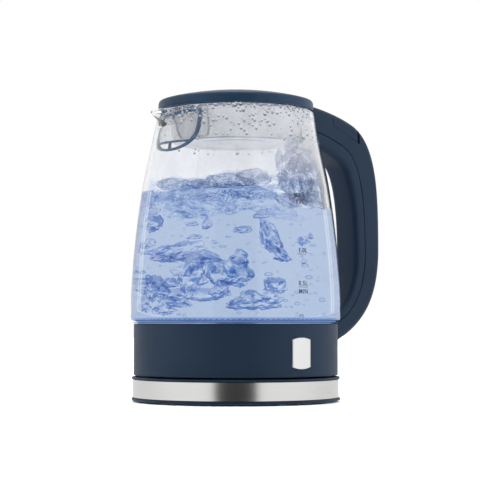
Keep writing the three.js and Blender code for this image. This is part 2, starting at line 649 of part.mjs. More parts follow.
function filterFrame() {
  const skin = alongGlass(-GLASS_WALL - 2.6, -GLASS_WALL - 0.6, 193, 229.4);
  const crossBar = keep(skin, block(-80, -40, -23.8, 23.8, 204.4, 206));
  return join(cut(keep(skin, filterWindow(0)), filterWindow(2.4)), crossBar);
}

function filterMesh() {
  const skin = alongGlass(-GLASS_WALL - 1.9, -GLASS_WALL - 1.4, 193, 229.4);
  return cut(keep(skin, filterWindow(2.4 + GAP)), block(-80, -40, -30, 30, 190, 206.3));
}

add('filter_frame', filterFrame(), NAVY_INSIDE);
add('filter_mesh', filterMesh(), STEEL);

export default kettle;
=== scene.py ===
"""Electric kettle: smooth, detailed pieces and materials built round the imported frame.

Drawings below are in millimetres, as on a workshop sheet; the helpers scale them to metres.
+X runs to the handle, -X to the spout, -Y is the side with the level marks and the badge.
"""

import json
import math
import random

import bmesh
import bpy
from mathutils import Matrix, Vector, noise

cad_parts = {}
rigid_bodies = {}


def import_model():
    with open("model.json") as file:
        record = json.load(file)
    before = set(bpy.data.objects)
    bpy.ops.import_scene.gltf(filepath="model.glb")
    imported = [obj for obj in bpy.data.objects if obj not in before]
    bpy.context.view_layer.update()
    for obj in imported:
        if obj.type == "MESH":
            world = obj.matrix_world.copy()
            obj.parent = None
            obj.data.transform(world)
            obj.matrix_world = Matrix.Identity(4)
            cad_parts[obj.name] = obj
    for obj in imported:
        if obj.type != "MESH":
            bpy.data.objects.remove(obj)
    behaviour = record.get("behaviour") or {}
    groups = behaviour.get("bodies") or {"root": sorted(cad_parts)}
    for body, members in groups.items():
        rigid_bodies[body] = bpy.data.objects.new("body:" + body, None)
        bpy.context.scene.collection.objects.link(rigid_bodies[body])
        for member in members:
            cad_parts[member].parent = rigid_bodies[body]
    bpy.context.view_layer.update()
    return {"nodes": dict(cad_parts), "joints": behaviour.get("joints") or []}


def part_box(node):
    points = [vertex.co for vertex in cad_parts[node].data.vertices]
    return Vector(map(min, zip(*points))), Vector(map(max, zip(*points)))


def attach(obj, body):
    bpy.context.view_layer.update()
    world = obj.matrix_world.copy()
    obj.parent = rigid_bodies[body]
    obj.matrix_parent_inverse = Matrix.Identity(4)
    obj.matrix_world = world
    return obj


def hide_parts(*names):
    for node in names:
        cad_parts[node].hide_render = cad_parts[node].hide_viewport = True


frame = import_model()

MM = 0.001
SIDES = 144


def corner_mm(node):
    """Lowest and highest corner of a CAD node, in millimetres."""
    low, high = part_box(node)
    return low / MM, high / MM


# ---------------- sizes from the frame
BASE_RADIUS = corner_mm("base_upper_shell")[1].x
BASE_LOW = corner_mm("base_bottom_cover")[0].z
DECK_TOP = corner_mm("base_upper_shell")[1].z
BAND_RADIUS = corner_mm("base_steel_band")[1].x
BAND_LOW = corner_mm("base_steel_band")[0].z
BAND_HIGH = corner_mm("base_steel_band")[1].z
COLLAR_RADIUS = corner_mm("jug_collar")[1].x
COLLAR_LOW = corner_mm("jug_collar")[0].z
COLLAR_HIGH = corner_mm("jug_collar")[1].z
RIM_Z = corner_mm("glass_jug")[1].z
GLASS_FOOT_LOW = corner_mm("glass_jug")[0].z
PLATE_TOP = corner_mm("heating_plate")[1].z
LID_LOW = corner_mm("lid_cap")[0].z
LID_TOP = corner_mm("lid_cap")[1].z
LID_RADIUS = corner_mm("lid_cap")[1].y
LINER_LOW = corner_mm("lid_liner")[0].z
GRIP_HALF = corner_mm("handle_shell")[1].y
HINGE = next(joint for joint in frame["joints"] if joint["name"] == "lid_hinge")
HINGE_X, _, HINGE_Z = (value / MM for value in HINGE["pos_m"])
GLASS_WALL, COLLAR_WALL = 3.0, 2.3
QUARTER = math.pi / 2


def wall_rows():
    """(height, outer radius) pairs of the glass, read where no spout or handle disturbs it."""
    rows = {}
    for vertex in frame["nodes"]["glass_jug"].data.vertices:
        x, y, z = vertex.co / MM
        if abs(x) < 0.5 and y > 0:
            key = round(z, 2)
            rows[key] = max(rows.get(key, 0.0), y)
    return sorted((z, radius) for z, radius in rows.items() if z > COLLAR_HIGH + 1)


WALL = wall_rows()


def glass_radius(z):
    """Outer radius of the glass at a height, as a smooth curve through the frame's rows."""
    z = min(max(z, WALL[0][0]), WALL[-1][0])
    index = max(i for i in range(len(WALL) - 1) if WALL[i][0] <= z or i == 0)
    (z1, r1), (z2, r2) = WALL[index], WALL[index + 1]
    z0, r0 = WALL[max(index - 1, 0)]
    z3, r3 = WALL[min(index + 2, len(WALL) - 1)]
    slope1 = (r2 - r0) / (z2 - z0)
    slope2 = (r3 - r1) / (z3 - z1)
    t = (z - z1) / (z2 - z1)
    span = z2 - z1
    return (
        (2 * t**3 - 3 * t**2 + 1) * r1
        + (t**3 - 2 * t**2 + t) * span * slope1
        + (3 * t**2 - 2 * t**3) * r2
        + (t**3 - t**2) * span * slope2
    )


# ---------------- mesh helpers
def finish_mesh(name, mesh, body, material, stands_for=(), sharp=35):
    """Turns a mesh drawn in millimetres into a piece that rides on a CAD body."""
    mesh.transform(Matrix.Scale(MM, 4))
    mesh.shade_smooth()
    mesh.set_sharp_from_angle(angle=math.radians(sharp))
    piece = bpy.data.objects.new(name, mesh)
    bpy.context.scene.collection.objects.link(piece)
    mesh.materials.append(material)
    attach(piece, body)
    if stands_for:
        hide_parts(*stands_for)
    return piece


def mesh_from(name, points, faces):
    mesh = bpy.data.meshes.new(name)
    mesh.from_pydata([tuple(point) for point in points], [], faces)
    work = bmesh.new()
    work.from_mesh(mesh)
    bmesh.ops.remove_doubles(work, verts=work.verts, dist=1e-4)
    bmesh.ops.recalc_face_normals(work, faces=work.faces)
    work.to_mesh(mesh)
    work.free()
    return mesh


def join_meshes(name, meshes):
    work = bmesh.new()
    for mesh in meshes:
        work.from_mesh(mesh)
        bpy.data.meshes.remove(mesh)
    merged = bpy.data.meshes.new(name)
    work.to_mesh(merged)
    work.free()
    return merged


def rounded(corners, steps=5):
    """Outline with its corners rounded; a corner is (x, y) or (x, y, radius)."""
    outline = []
    count = len(corners)
    for i, corner in enumerate(corners):
        here = Vector(corner[:2])
        radius = corner[2] if len(corner) > 2 else 0
        before = Vector(corners[i - 1][:2]) - here
        after = Vector(corners[(i + 1) % count][:2]) - here
        if radius <= 0:
            outline.append(here)
            continue
        half = before.angle(after) / 2
        reach = min(radius / math.tan(half), before.length * 0.49, after.length * 0.49)
        start, end = here + before.normalized() * reach, here + after.normalized() * reach
        for k in range(steps + 1):
            t = k / steps
            outline.append(start * (1 - t) ** 2 + here * 2 * t * (1 - t) + end * t**2)
    return outline


def lathe(name, outline, sides=SIDES):
    """Closed outline of (radius, height) turned about Z; points on the axis become poles."""
    points, faces, rings = [], [], []
    for radius, height in outline:
        if radius < 1e-6:
            rings.append([len(points)] * sides)
            points.append((0, 0, height))
            continue
        rings.append(list(range(len(points), len(points) + sides)))
        for i in range(sides):
            angle = 2 * math.pi * i / sides
            points.append((radius * math.cos(angle), radius * math.sin(angle), height))
    for lower, upper in zip(rings, rings[1:] + rings[:1]):
        for i in range(sides):
            j = (i + 1) % sides
            quad = [lower[i], lower[j], upper[j], upper[i]]
            face = list(dict.fromkeys(quad))
            if len(face) > 2:
                faces.append(face)
    return mesh_from(name, points, faces)


def quads(low, high, size):
    """Faces between two rings of points, given the first number of each ring."""
    return [[low + i, low + (i + 1) % size, high + (i + 1) % size, high + i] for i in range(size)]


def loft(name, sections):
    """Skin over a run of equal closed loops, with flat ends."""
    size = len(sections[0])
    points = [point for section in sections for point in section]
    faces = []
    for row in range(len(sections) - 1):
        faces += quads(row * size, (row + 1) * size, size)
    faces.append(list(range(size))[::-1])
    faces.append([len(points) - size + i for i in range(size)])
    return mesh_from(name, points, faces)


def prism(name, outline, low, high):
    """Outline drawn in X and Z, extruded straight across along Y."""
    return loft(name, [[(p[0], depth, p[1]) for p in outline] for depth in (low, high)])


def box_mesh(name, low, high, bevel=0.0):
    work = bmesh.new()
    bmesh.ops.create_cube(work, size=1)
    size = Vector(high) - Vector(low)
    centre = (Vector(high) + Vector(low)) / 2
    bmesh.ops.transform(work, matrix=Matrix.Translation(centre) @ Matrix.Diagonal((*size, 1)), verts=work.verts)
    if bevel > 0:
        bmesh.ops.bevel(work, geom=work.edges[:], offset=bevel, segments=3, profile=0.7, affect="EDGES")
    mesh = bpy.data.meshes.new(name)
    work.to_mesh(mesh)
    work.free()
    return mesh


def moved(mesh, matrix):
    mesh.transform(matrix)
    return mesh


def placed(mesh, place, angle=0.0, axis="Z"):
    """Turned about an axis through its own origin, then put in its place; the angle is in radians."""
    return moved(mesh, Matrix.Translation(place) @ Matrix.Rotation(angle, 4, axis))


def cubic(a, b, c, d, t):
    """Point at share t along a Bezier curve."""
    return a * (1 - t) ** 3 + b * 3 * t * (1 - t) ** 2 + c * 3 * t * t * (1 - t) + d * t**3


def carve(mesh, tool, operation="DIFFERENCE"):
    """Boolean of two closed meshes; both inputs are used up."""
    scene = bpy.context.scene
    main = bpy.data.objects.new("carve_main", mesh)
    cutter = bpy.data.objects.new("carve_tool", tool)
    for item in (main, cutter):
        scene.collection.objects.link(item)
    modifier = main.modifiers.new("carve", "BOOLEAN")
    modifier.operation = operation
    modifier.solver = "EXACT"
    modifier.object = cutter
    graph = bpy.context.evaluated_depsgraph_get()
    result = bpy.data.meshes.new_from_object(main.evaluated_get(graph))
    for item in (main, cutter):
        bpy.data.objects.remove(item)
    bpy.data.meshes.remove(mesh)
    bpy.data.meshes.remove(tool)
    return result


def cut(mesh, *tools):
    for tool in tools:
        mesh = carve(mesh, tool)
    return mesh


def added(mesh, *tools):
    for tool in tools:
        mesh = carve(mesh, tool, "UNION")
    return mesh


def common(mesh, tool):
    return carve(mesh, tool, "INTERSECT")


def on_circle(count, radius, start=0.0):
    """(x, y) places evenly round a circle; start is in degrees."""
    for i in range(count):
        angle = math.radians(start + 360 * i / count)
        yield radius * math.cos(angle), radius * math.sin(angle)


# ---------------- materials
def shader(name, colour, roughness, metallic=0.0, **sockets):
    material = bpy.data.materials.new(name)
    material.use_nodes = True
    bsdf = material.node_tree.nodes["Principled BSDF"]
    bsdf.inputs["Base Color"].default_value = (*colour, 1)
    bsdf.inputs["Roughness"].default_value = roughness
    bsdf.inputs["Metallic"].default_value = metallic
    for socket, value in sockets.items():
        bsdf.inputs[socket.replace("_", " ")].default_value = value
    return material, material.node_tree, bsdf


def node(tree, kind, **settings):
    """New node; a setting is a property, or an input's value or the socket that feeds it."""
    item = tree.nodes.new(kind)
    for key, value in settings.items():
        socket = key.replace("_", " ")
        if socket not in item.inputs:
            setattr(item, key, value)
        elif isinstance(value, bpy.types.NodeSocket):
            tree.links.new(value, item.inputs[socket])
        else:
            item.inputs[socket].default_value = value
    return item


def blend_shaders(tree, share, first, second):
    mix = node(tree, "ShaderNodeMixShader")
    for index, source in enumerate((share, first, second)):
        tree.links.new(source, mix.inputs[index])
    return mix.outputs["Shader"]


def surface_is(tree, source):
    tree.links.new(source, tree.nodes["Material Output"].inputs["Surface"])


def noise_field(tree, scale, detail=4.0, stretch=(1, 1, 1), roughness=0.5, distortion=0.0):
    """Noise in the piece's own space; stretch squeezes it along X, Y or Z."""
    place = node(tree, "ShaderNodeTexCoord").outputs["Object"]
    mapping = node(tree, "ShaderNodeMapping", Vector=place, Scale=stretch)
    field = node(tree, "ShaderNodeTexNoise", Vector=mapping.outputs["Vector"], Scale=scale, Detail=detail,
                 Roughness=roughness, Distortion=distortion)
    return field.outputs["Fac"]


def ramp(tree, source, stops):
    """Colour ramp from (position, colour) stops."""
    item = node(tree, "ShaderNodeValToRGB", Fac=source)
    elements = item.color_ramp.elements
    while len(elements) < len(stops):
        elements.new(0.5)
    for element, (position, colour) in zip(elements, stops):
        element.position = position
        element.color = (*colour, 1)
    return item.outputs["Color"]


def grey(value):
    return (value, value, value)


def vary(tree, bsdf, socket, source, low, high):
    """Drives a plain number socket between two values."""
    span = node(tree, "ShaderNodeMapRange", Value=source, To_Min=low, To_Max=high)
    tree.links.new(span.outputs["Result"], bsdf.inputs[socket])


def bump(tree, bsdf, source, strength, distance):
    item = node(tree, "ShaderNodeBump", Height=source, Strength=strength, Distance=distance)
    tree.links.new(item.outputs["Normal"], bsdf.inputs["Normal"])


def moulded(name, dark, light, roughness=(0.36, 0.5), grain=1500.0, strength=0.12):
    """Injection-moulded plastic: fine spark-eroded grain over slow tone changes."""
    material, tree, bsdf = shader(name, dark, roughness[0], Specular_IOR_Level=0.12)
    tree.links.new(ramp(tree, noise_field(tree, 14, 3), [(0.3, dark), (0.7, light)]), bsdf.inputs["Base Color"])
    vary(tree, bsdf, "Roughness", noise_field(tree, 90, 5), *roughness)
    bump(tree, bsdf, noise_field(tree, grain, 2), strength, 0.00015)
    return material


def brushed(name, colour, stretch, roughness=(0.22, 0.36), strength=0.25, tone=0.12):
    """Brushed metal; the stretch squeezes the scratch lines along the brushing direction."""
    material, tree, bsdf = shader(name, colour, roughness[0], 1.0)
    lines = noise_field(tree, 60, 6, stretch, 0.7)
    dark = tuple(channel * (1 - tone) for channel in colour)
    tree.links.new(ramp(tree, lines, [(0.3, dark), (0.7, colour)]), bsdf.inputs["Base Color"])
    vary(tree, bsdf, "Roughness", lines, *roughness)
    bump(tree, bsdf, lines, strength, 0.00005)
    return material


def soft_rubber(name, colour, roughness=0.6, grain=700.0):
    material, tree, bsdf = shader(name, colour, roughness)
    paler = tuple(min(channel * 1.25 + 0.01, 1) for channel in colour)
    tone = ramp(tree, noise_field(tree, 45, 4), [(0.35, colour), (0.7, paler)])
    tree.links.new(tone, bsdf.inputs["Base Color"])
    vary(tree, bsdf, "Roughness", noise_field(tree, 160, 3), roughness - 0.1, roughness + 0.1)
    bump(tree, bsdf, noise_field(tree, grain, 3), 0.15, 0.0002)
    return material


def clear_glass():
    """Borosilicate wall, faintly blue; its index is near water's, so that the filled part reads as one body."""
    material, tree, bsdf = shader("clear_glass", (0.965, 0.98, 1.0), 0.0, IOR=1.38, Transmission_Weight=1.0,
                                  Specular_IOR_Level=0.35)
    vary(tree, bsdf, "Roughness", noise_field(tree, 24, 3), 0.0, 0.004)
    shadow = node(tree, "ShaderNodeLightPath").outputs["Is Shadow Ray"]
    through = node(tree, "ShaderNodeBsdfTransparent", Color=(0.93, 0.96, 1.0, 1))
    surface_is(tree, blend_shaders(tree, shadow, bsdf.outputs["BSDF"], through.outputs["BSDF"]))
    return material


def see_through(name, film, tone, cover, glint=None, glint_colour=(0.86, 0.91, 1.0)):
    """Coloured film you look through: `film` where the cover is 0, `tone` where it is 1.

    `cover` and `glint` get the node tree and return a 0..1 socket; a glint is painted light, an emission of
    glint_colour, pale by default.
    """
    material, tree, bsdf = shader(name, film, 0.1)
    tree.nodes.remove(bsdf)
    colour = ramp(tree, cover(tree), [(0.0, film), (1.0, tone)])
    surface = node(tree, "ShaderNodeBsdfTransparent", Color=colour).outputs["BSDF"]
    if glint:
        light = node(tree, "ShaderNodeEmission", Color=(*glint_colour, 1))
        surface = blend_shaders(tree, glint(tree), surface, light.outputs["Emission"])
    surface_is(tree, surface)
    return material


def calculate(tree, operation, *inputs, clamp=False):
    item = node(tree, "ShaderNodeMath", operation=operation, use_clamp=clamp)
    for socket, value in zip(item.inputs, inputs):
        if isinstance(value, (int, float)):
            socket.default_value = value
        else:
            tree.links.new(value, socket)
    return item.outputs["Value"]


NAVY_DARK, NAVY_LIGHT = (0.0105, 0.0225, 0.0405), (0.0135, 0.0270, 0.0480)
navy = moulded("navy_plastic", NAVY_DARK, NAVY_LIGHT)
# Painted light: the lid gets a lighter copy of the navy plastic, standing in for the side and overhead light
# falling on it.
navy_lid_painted_light = moulded(
    "navy_lid_painted_light", tuple(1.35 * c for c in NAVY_DARK), tuple(1.4 * c for c in NAVY_LIGHT), (0.3, 0.42))
navy_inside = moulded("navy_inside", (0.030, 0.090, 0.170), (0.040, 0.115, 0.215), (0.3, 0.45))
black_plastic = moulded("black_plastic", (0.012, 0.013, 0.015), (0.020, 0.021, 0.024), (0.4, 0.6))
band_steel = brushed("band_steel", (0.76, 0.755, 0.75), (1, 1, 60), (0.12, 0.2), 0.22)
band_bsdf = band_steel.node_tree.nodes["Principled BSDF"]
band_bsdf.inputs["Anisotropic"].default_value = 0.75
band_turn = node(band_steel.node_tree, "ShaderNodeTangent", direction_type="RADIAL", axis="Z")
band_steel.node_tree.links.new(band_turn.outputs["Tangent"], band_bsdf.inputs["Tangent"])
pressed_steel = brushed("pressed_steel", (0.60, 0.605, 0.615), (1, 1, 18), (0.18, 0.3), 0.2)
# The liner's tall, strongly darker streaks (tone 0.4) are partly painted reflection, standing in for the
# studio's dark strips seen in the steel, over real brushing lines.
liner_steel = brushed("liner_steel", (0.76, 0.765, 0.775), (1, 1, 0.04), (0.16, 0.26), 0.1, 0.4)
plate_steel = brushed("plate_steel", (0.93, 0.935, 0.94), (1, 1, 1), (0.06, 0.14), 0.1, 0.04)
# Painted light: the steel plate and its rim glow faintly blue, standing in for the ring's light bouncing off
# them.
plate_painted_glow = plate_steel.node_tree.nodes["Principled BSDF"]
plate_painted_glow.inputs["Emission Color"].default_value = (0.80, 0.88, 1.0, 1)
plate_painted_glow.inputs["Emission Strength"].default_value = 0.12
fastener_steel = brushed("fastener_steel", (0.62, 0.62, 0.61), (8, 8, 1), (0.3, 0.45), 0.3)
aluminium = brushed("aluminium_plate", (0.60, 0.61, 0.62), (1, 1, 1), (0.35, 0.55), 0.35)
brass = brushed("brass_contact", (0.64, 0.47, 0.20), (6, 6, 1), (0.28, 0.42), 0.2)
silicone = soft_rubber("silicone", (0.70, 0.73, 0.76), 0.5)
rubber_black = soft_rubber("rubber_black", (0.018, 0.018, 0.020), 0.75)
circuit_board = soft_rubber("circuit_board", (0.012, 0.085, 0.040), 0.45, 300.0)
badge_white = brushed("badge_white", (0.88, 0.88, 0.885), (1, 1, 30), (0.35, 0.5), 0.1, 0.03)
glass = clear_glass()


# ---------------- camera, light and floor
CAMERA_TURN = -38.0  # degrees from -Y, towards the spout
CAMERA_AWAY, CAMERA_HEIGHT = 1.30, 0.064  # metres
CAMERA_TILT, CAMERA_PAN = 2.815, 0.147  # degrees
LENS = 122.5

for leftover in [o for o in bpy.data.objects if o.type in {"CAMERA", "LIGHT"} or o.name == "Cube"]:
    bpy.data.objects.remove(leftover)

turn = math.radians(CAMERA_TURN)
toward_camera = Vector((math.sin(turn), -math.cos(turn), 0))
camera = bpy.data.objects.new("camera", bpy.data.cameras.new("camera"))
camera.data.lens = LENS
camera.data.sensor_width = 36
camera.location = toward_camera * CAMERA_AWAY + Vector((0, 0, CAMERA_HEIGHT))
camera.rotation_euler = (math.radians(90 + CAMERA_TILT), 0, turn - math.radians(CAMERA_PAN))
bpy.context.scene.collection.objects.link(camera)
bpy.context.scene.camera = camera
bpy.context.scene.view_settings.view_transform = "Standard"


def frontness(tree, flat):
    """1 towards the camera's side of the studio and 0 behind the kettle."""
    direction = node(tree, "ShaderNodeTexCoord").outputs["Generated"]
    if flat:
        level = node(tree, "ShaderNodeVectorMath", operation="MULTIPLY", Vector=direction)
        level.inputs[1].default_value = (1, 1, 0)
        unit = node(tree, "ShaderNodeVectorMath", operation="NORMALIZE", Vector=level.outputs["Vector"])
        direction = unit.outputs["Vector"]
    facing = node(tree, "ShaderNodeVectorMath", operation="DOT_PRODUCT", Vector=direction)
    facing.inputs[1].default_value = toward_camera
    return calculate(tree, "MULTIPLY_ADD", facing.outputs["Value"], 0.5, 0.5)


def reflection_only(tree):
    """1 for rays that bounced off a glossy surface, 0 for those that went straight through one."""
    path = node(tree, "ShaderNodeLightPath").outputs
    return calculate(tree, "SUBTRACT", path["Is Glossy Ray"], path["Is Transmission Ray"], clamp=True)


# Brightness of the studio from behind the kettle (0) round to the camera (1), as light and in reflections.
SIDE_LIGHT, SIDE_FRINGE = (6.2, 7.0, 8.0), (5.1, 5.8, 6.6)
SOFT_STOPS = [
    (0.0, grey(0.8)), (0.28, grey(1.2)), (0.38, SIDE_LIGHT), (0.49, SIDE_FRINGE), (0.61, grey(1.0)),
    (0.75, grey(0.05)), (1.0, grey(0.02)),
]
MIRROR_STOPS = [
    (0.0, grey(0.84)), (0.30, grey(0.86)), (0.60, grey(0.98)), (0.950, grey(1.0)), (0.968, grey(0.05)),
    (1.0, grey(0.04)),
]


def studio_world():
    """White studio: bluish strip lights at both sides, a dark front, and a dark patch in reflections."""
    world = bpy.data.worlds.new("studio")
    bpy.context.scene.world = world
    world.use_nodes = True
    tree = world.node_tree
    background = tree.nodes["Background"]
    soft = ramp(tree, frontness(tree, False), SOFT_STOPS)
    mirror = ramp(tree, frontness(tree, True), MIRROR_STOPS)
    plain = node(tree, "ShaderNodeLightPath").outputs["Is Diffuse Ray"]
    glossy = node(tree, "ShaderNodeMix", data_type="RGBA")
    diffuse = node(tree, "ShaderNodeMix", data_type="RGBA")
    glossy.inputs["A"].default_value = (1, 1, 1, 1)
    tree.links.new(reflection_only(tree), glossy.inputs["Factor"])
    tree.links.new(mirror, glossy.inputs["B"])
    tree.links.new(plain, diffuse.inputs["Factor"])
    tree.links.new(glossy.outputs["Result"], diffuse.inputs["A"])
    tree.links.new(soft, diffuse.inputs["B"])
    tree.links.new(diffuse.outputs["Result"], background.inputs["Color"])
    background.inputs["Strength"].default_value = 1.0


def overhead_sun():
    """Broad, soft light from above, even all over the floor."""
    light = bpy.data.objects.new("overhead", bpy.data.lights.new("overhead", "SUN"))
    light.data.energy = 0.5
    light.data.angle = math.radians(50)
    light.rotation_euler = (math.radians(12), math.radians(-10), 0)
    bpy.context.scene.collection.objects.link(light)


def studio_floor():
    """Plain white table; steel and glass reflect the studio through it, as over a lit sweep."""
    material, tree, bsdf = shader("floor", (0.93, 0.93, 0.935), 0.6, Specular_IOR_Level=0.2)
    tone = ramp(tree, noise_field(tree, 3, 3), [(0.3, grey(0.92)), (0.7, grey(0.94))])
    tree.links.new(tone, bsdf.inputs["Base Color"])
    unseen = node(tree, "ShaderNodeBsdfTransparent")
    path = node(tree, "ShaderNodeLightPath").outputs
    bounced = calculate(tree, "MAXIMUM", path["Is Glossy Ray"], path["Is Transmission Ray"])
    surface_is(tree, blend_shaders(tree, bounced, bsdf.outputs["BSDF"], unseen.outputs["BSDF"]))
    floor = bpy.data.objects.new("floor", box_mesh("floor", (-4000, -4000, -20), (4000, 4000, -0.05)))
    floor.data.transform(Matrix.Scale(MM, 4))
    floor.data.materials.append(material)
    bpy.context.scene.collection.objects.link(floor)


studio_world()
studio_floor()
overhead_sun()

# ---------------- power base
BAND_WALL = 0.8
GLAND_Z = (corner_mm("base_cord_gland")[0].z + corner_mm("base_cord_gland")[1].z) / 2
POST_RADIUS = 13.5
POST_TOP = corner_mm("base_connector_post")[1].z
BASE_FLOOR = 3.2
SCREW_RING, FOOT_RING = 56, 67


def upright(radius, low, high, x=0.0, y=0.0, sides=32):
    return placed(lathe("rod", [(0, low), (radius, low), (radius, high), (0, high)], sides), (x, y, 0))


def across(x, z, radius, half):
    """Rod along Y."""
    return placed(upright(radius, -half, half), (x, 0, z), QUARTER, "X")


def lengthways(radius, low, high, y, z):
    """Rod along X."""
    return placed(upright(radius, low, high), (0, y, z), QUARTER, "Y")


def gland_hole():
    return placed(upright(4.9, 68, 92), (0, 0, GLAND_Z), -QUARTER, "X")


def base_cover():
    wall_in, wall_out = BAND_RADIUS - BAND_WALL - 5.9, BAND_RADIUS - BAND_WALL - 3.6
    rings = [(r, BASE_LOW + dip) for r in (48, 34, 20) for dip in (0, 0.5, 0.5, 0)]
    steps = [0.0, -0.4, -1.4, -1.8]
    ribs = [(r + steps[i % 4], z, 0.2) for i, (r, z) in enumerate(rings)]
    outline = rounded([
        (0, BASE_FLOOR), (wall_in, BASE_FLOOR), (wall_in, 9), (wall_out, 9), (wall_out, BASE_FLOOR),
        (BASE_RADIUS, BASE_FLOOR, 0.5), (BASE_RADIUS, BASE_LOW, 1.0), *ribs, (0, BASE_LOW),
    ])
    mesh = lathe("base_cover", outline)
    for x, y in on_circle(3, SCREW_RING, 30):
        mesh = added(mesh, upright(5, BASE_FLOOR - 1, 5, x, y))
        mesh = cut(mesh, upright(3.1, 0, 3.4, x, y), upright(1.5, 2, 8, x, y))
    for x, y in on_circle(3, FOOT_RING, 270):
        mesh = cut(mesh, upright(6.3, 0, 2, x, y))
    slit = placed(box_mesh("slit", (-84, -3, 1.9), (-80.5, 3, 2.6)), (0, 0, 0), math.radians(10))
    return cut(mesh, slit, gland_hole())


def base_shell():
    wall_in, wall_out = BAND_RADIUS - BAND_WALL - 3.2, BAND_RADIUS - BAND_WALL - 0.4
    under = BAND_HIGH + 0.3
    outline = rounded([
        (POST_RADIUS + 0.6, under), (wall_in, under), (wall_in, 6.2), (wall_out, 6.2), (wall_out, under),
        (BASE_RADIUS, under, 0.3), (BASE_RADIUS, DECK_TOP, 0.9),
        (79, DECK_TOP, 0.3), (78.4, DECK_TOP - 0.5, 0.3),
        (69.5, DECK_TOP - 0.5, 0.3), (69, DECK_TOP, 0.3), (30, DECK_TOP, 0.4), (29.4, DECK_TOP - 0.6, 0.3),
        (19, DECK_TOP - 0.6, 0.3), (18.4, DECK_TOP, 0.4), (POST_RADIUS + 0.6, DECK_TOP, 0.4),
    ])
    mesh = lathe("base_shell", outline)
    for x, y in on_circle(3, SCREW_RING, 30):
        mesh = cut(added(mesh, upright(3.6, 5.3, under + 0.4, x, y)), upright(1.4, 0, 16, x, y))
    return cut(mesh, gland_hole())


def steel_band():
    outline = rounded([
        (BAND_RADIUS - BAND_WALL, BAND_LOW), (BAND_RADIUS, BAND_LOW, 0.35), (BAND_RADIUS, BAND_HIGH, 0.35),
        (BAND_RADIUS - BAND_WALL, BAND_HIGH),
    ], 4)
    return cut(lathe("steel_band", outline, 192), gland_hole())


def connector_post():
    groove = 21.5
    outline = rounded([
        (2.6, 8), (POST_RADIUS, 8), (POST_RADIUS, 14.2), (20, 14.2), (20, 16.4), (POST_RADIUS, 16.4),
        (POST_RADIUS, POST_TOP, 0.9), (12, POST_TOP, 0.4), (12, groove), (9.6, groove), (9.6, POST_TOP, 0.4),
        (7.4, POST_TOP, 0.4), (7.4, groove), (4.6, groove), (4.6, POST_TOP, 0.4), (2.6, POST_TOP, 0.4),
    ], 4)
    return lathe("connector_post", outline, 72)


finish_mesh("base_cover_moulding", base_cover(), "power_base", navy, ["base_bottom_cover"])
finish_mesh("base_shell_moulding", base_shell(), "power_base", navy, ["base_upper_shell"])
finish_mesh("base_band", steel_band(), "power_base", band_steel, ["base_steel_band"])
finish_mesh("base_post", connector_post(), "power_base", black_plastic,
            ["base_connector_post"])
for index, (x, y) in enumerate(on_circle(3, FOOT_RING, 270), 1):
    pad = lathe("foot", rounded([(0, 0), (6, 0, 0.5), (6, 1.7, 0.3), (0, 1.7)], 4), 40)
    pad = cut(pad, lathe("groove", [(2.6, -1), (3.4, -1), (3.4, 0.4), (2.6, 0.4)], 40))
    finish_mesh(f"foot_{index}", placed(pad, (x, y, 0)), "power_base", rubber_black,
                [f"base_foot_{index}"])

# ---------------- glass
SPOUT_REACH, SPOUT_HALF, SPOUT_LOW, SPOUT_DIP = 18.5, math.radians(25), 213.0, 3.5
RIM_ROUND = 1.6


def smoothstep(value, low, high):
    t = min(max((value - low) / (high - low), 0.0), 1.0)
    return t * t * (3 - 2 * t)


def pull_spout(point):
    """Draws the rim out into the pouring lip, as the maker does with a hot wall."""
    x, y, z = point
    angle = abs(math.atan2(y, -x))
    rise = smoothstep(z, SPOUT_LOW, RIM_Z)
    if angle >= SPOUT_HALF or rise <= 0:
        return point
    lip = math.cos(angle / SPOUT_HALF * math.pi / 2) ** 2 * rise
    radius = math.hypot(x, y)
    scale = (radius + SPOUT_REACH * lip) / radius
    return Vector((x * scale, y * scale, z - SPOUT_DIP * lip))


def glass_wall():
    foot = COLLAR_RADIUS - COLLAR_WALL - 1.0
    heights = [WALL[0][0] + (RIM_Z - RIM_ROUND - WALL[0][0]) * i / 84 for i in range(85)]
    outside = [Vector((glass_radius(z), z)) for z in heights]
    inside = [Vector((glass_radius(z) - GLASS_WALL, z)) for z in reversed(heights)]
    middle = glass_radius(RIM_Z) - GLASS_WALL / 2
    turns = [math.pi * k / 10 for k in range(1, 10)]
    half, low = GLASS_WALL / 2, RIM_Z - RIM_ROUND
    rim = [Vector((middle + half * math.cos(a), low + RIM_ROUND * math.sin(a))) for a in turns]
    foot_part = [
        (foot - GLASS_WALL, GLASS_FOOT_LOW), (foot, GLASS_FOOT_LOW), (foot, 61.7), (foot + 1.6, 61.9),
        (foot + 3.2, 62.0), (foot + 4.2, 62.6),
    ]
    step = [(77.6, 62.6), (76.2, 62.2), (foot - GLASS_WALL, 61.2)]
    mesh = lathe("glass_wall", foot_part + outside + rim + inside + step, 192)
    for vertex in mesh.vertices:
        vertex.co = pull_spout(vertex.co)
    return mesh


jug_glass = finish_mesh("glass_wall", glass_wall(), "jug", glass, ["glass_jug"], sharp=50)

# ---------------- jug bottom
BADGE_WIDTH, BADGE_HEIGHT, BADGE_MIDDLE = 17.6, 24.0, 39.0
COVER_LOW, COVER_HIGH = corner_mm("jug_bottom_cover")[0].z + 1.2, 23.2
LEVER_X, LEVER_Z = 66.0, 32.5
PIN_ROOM = 1.8
COVER_SCREW_RING = 75


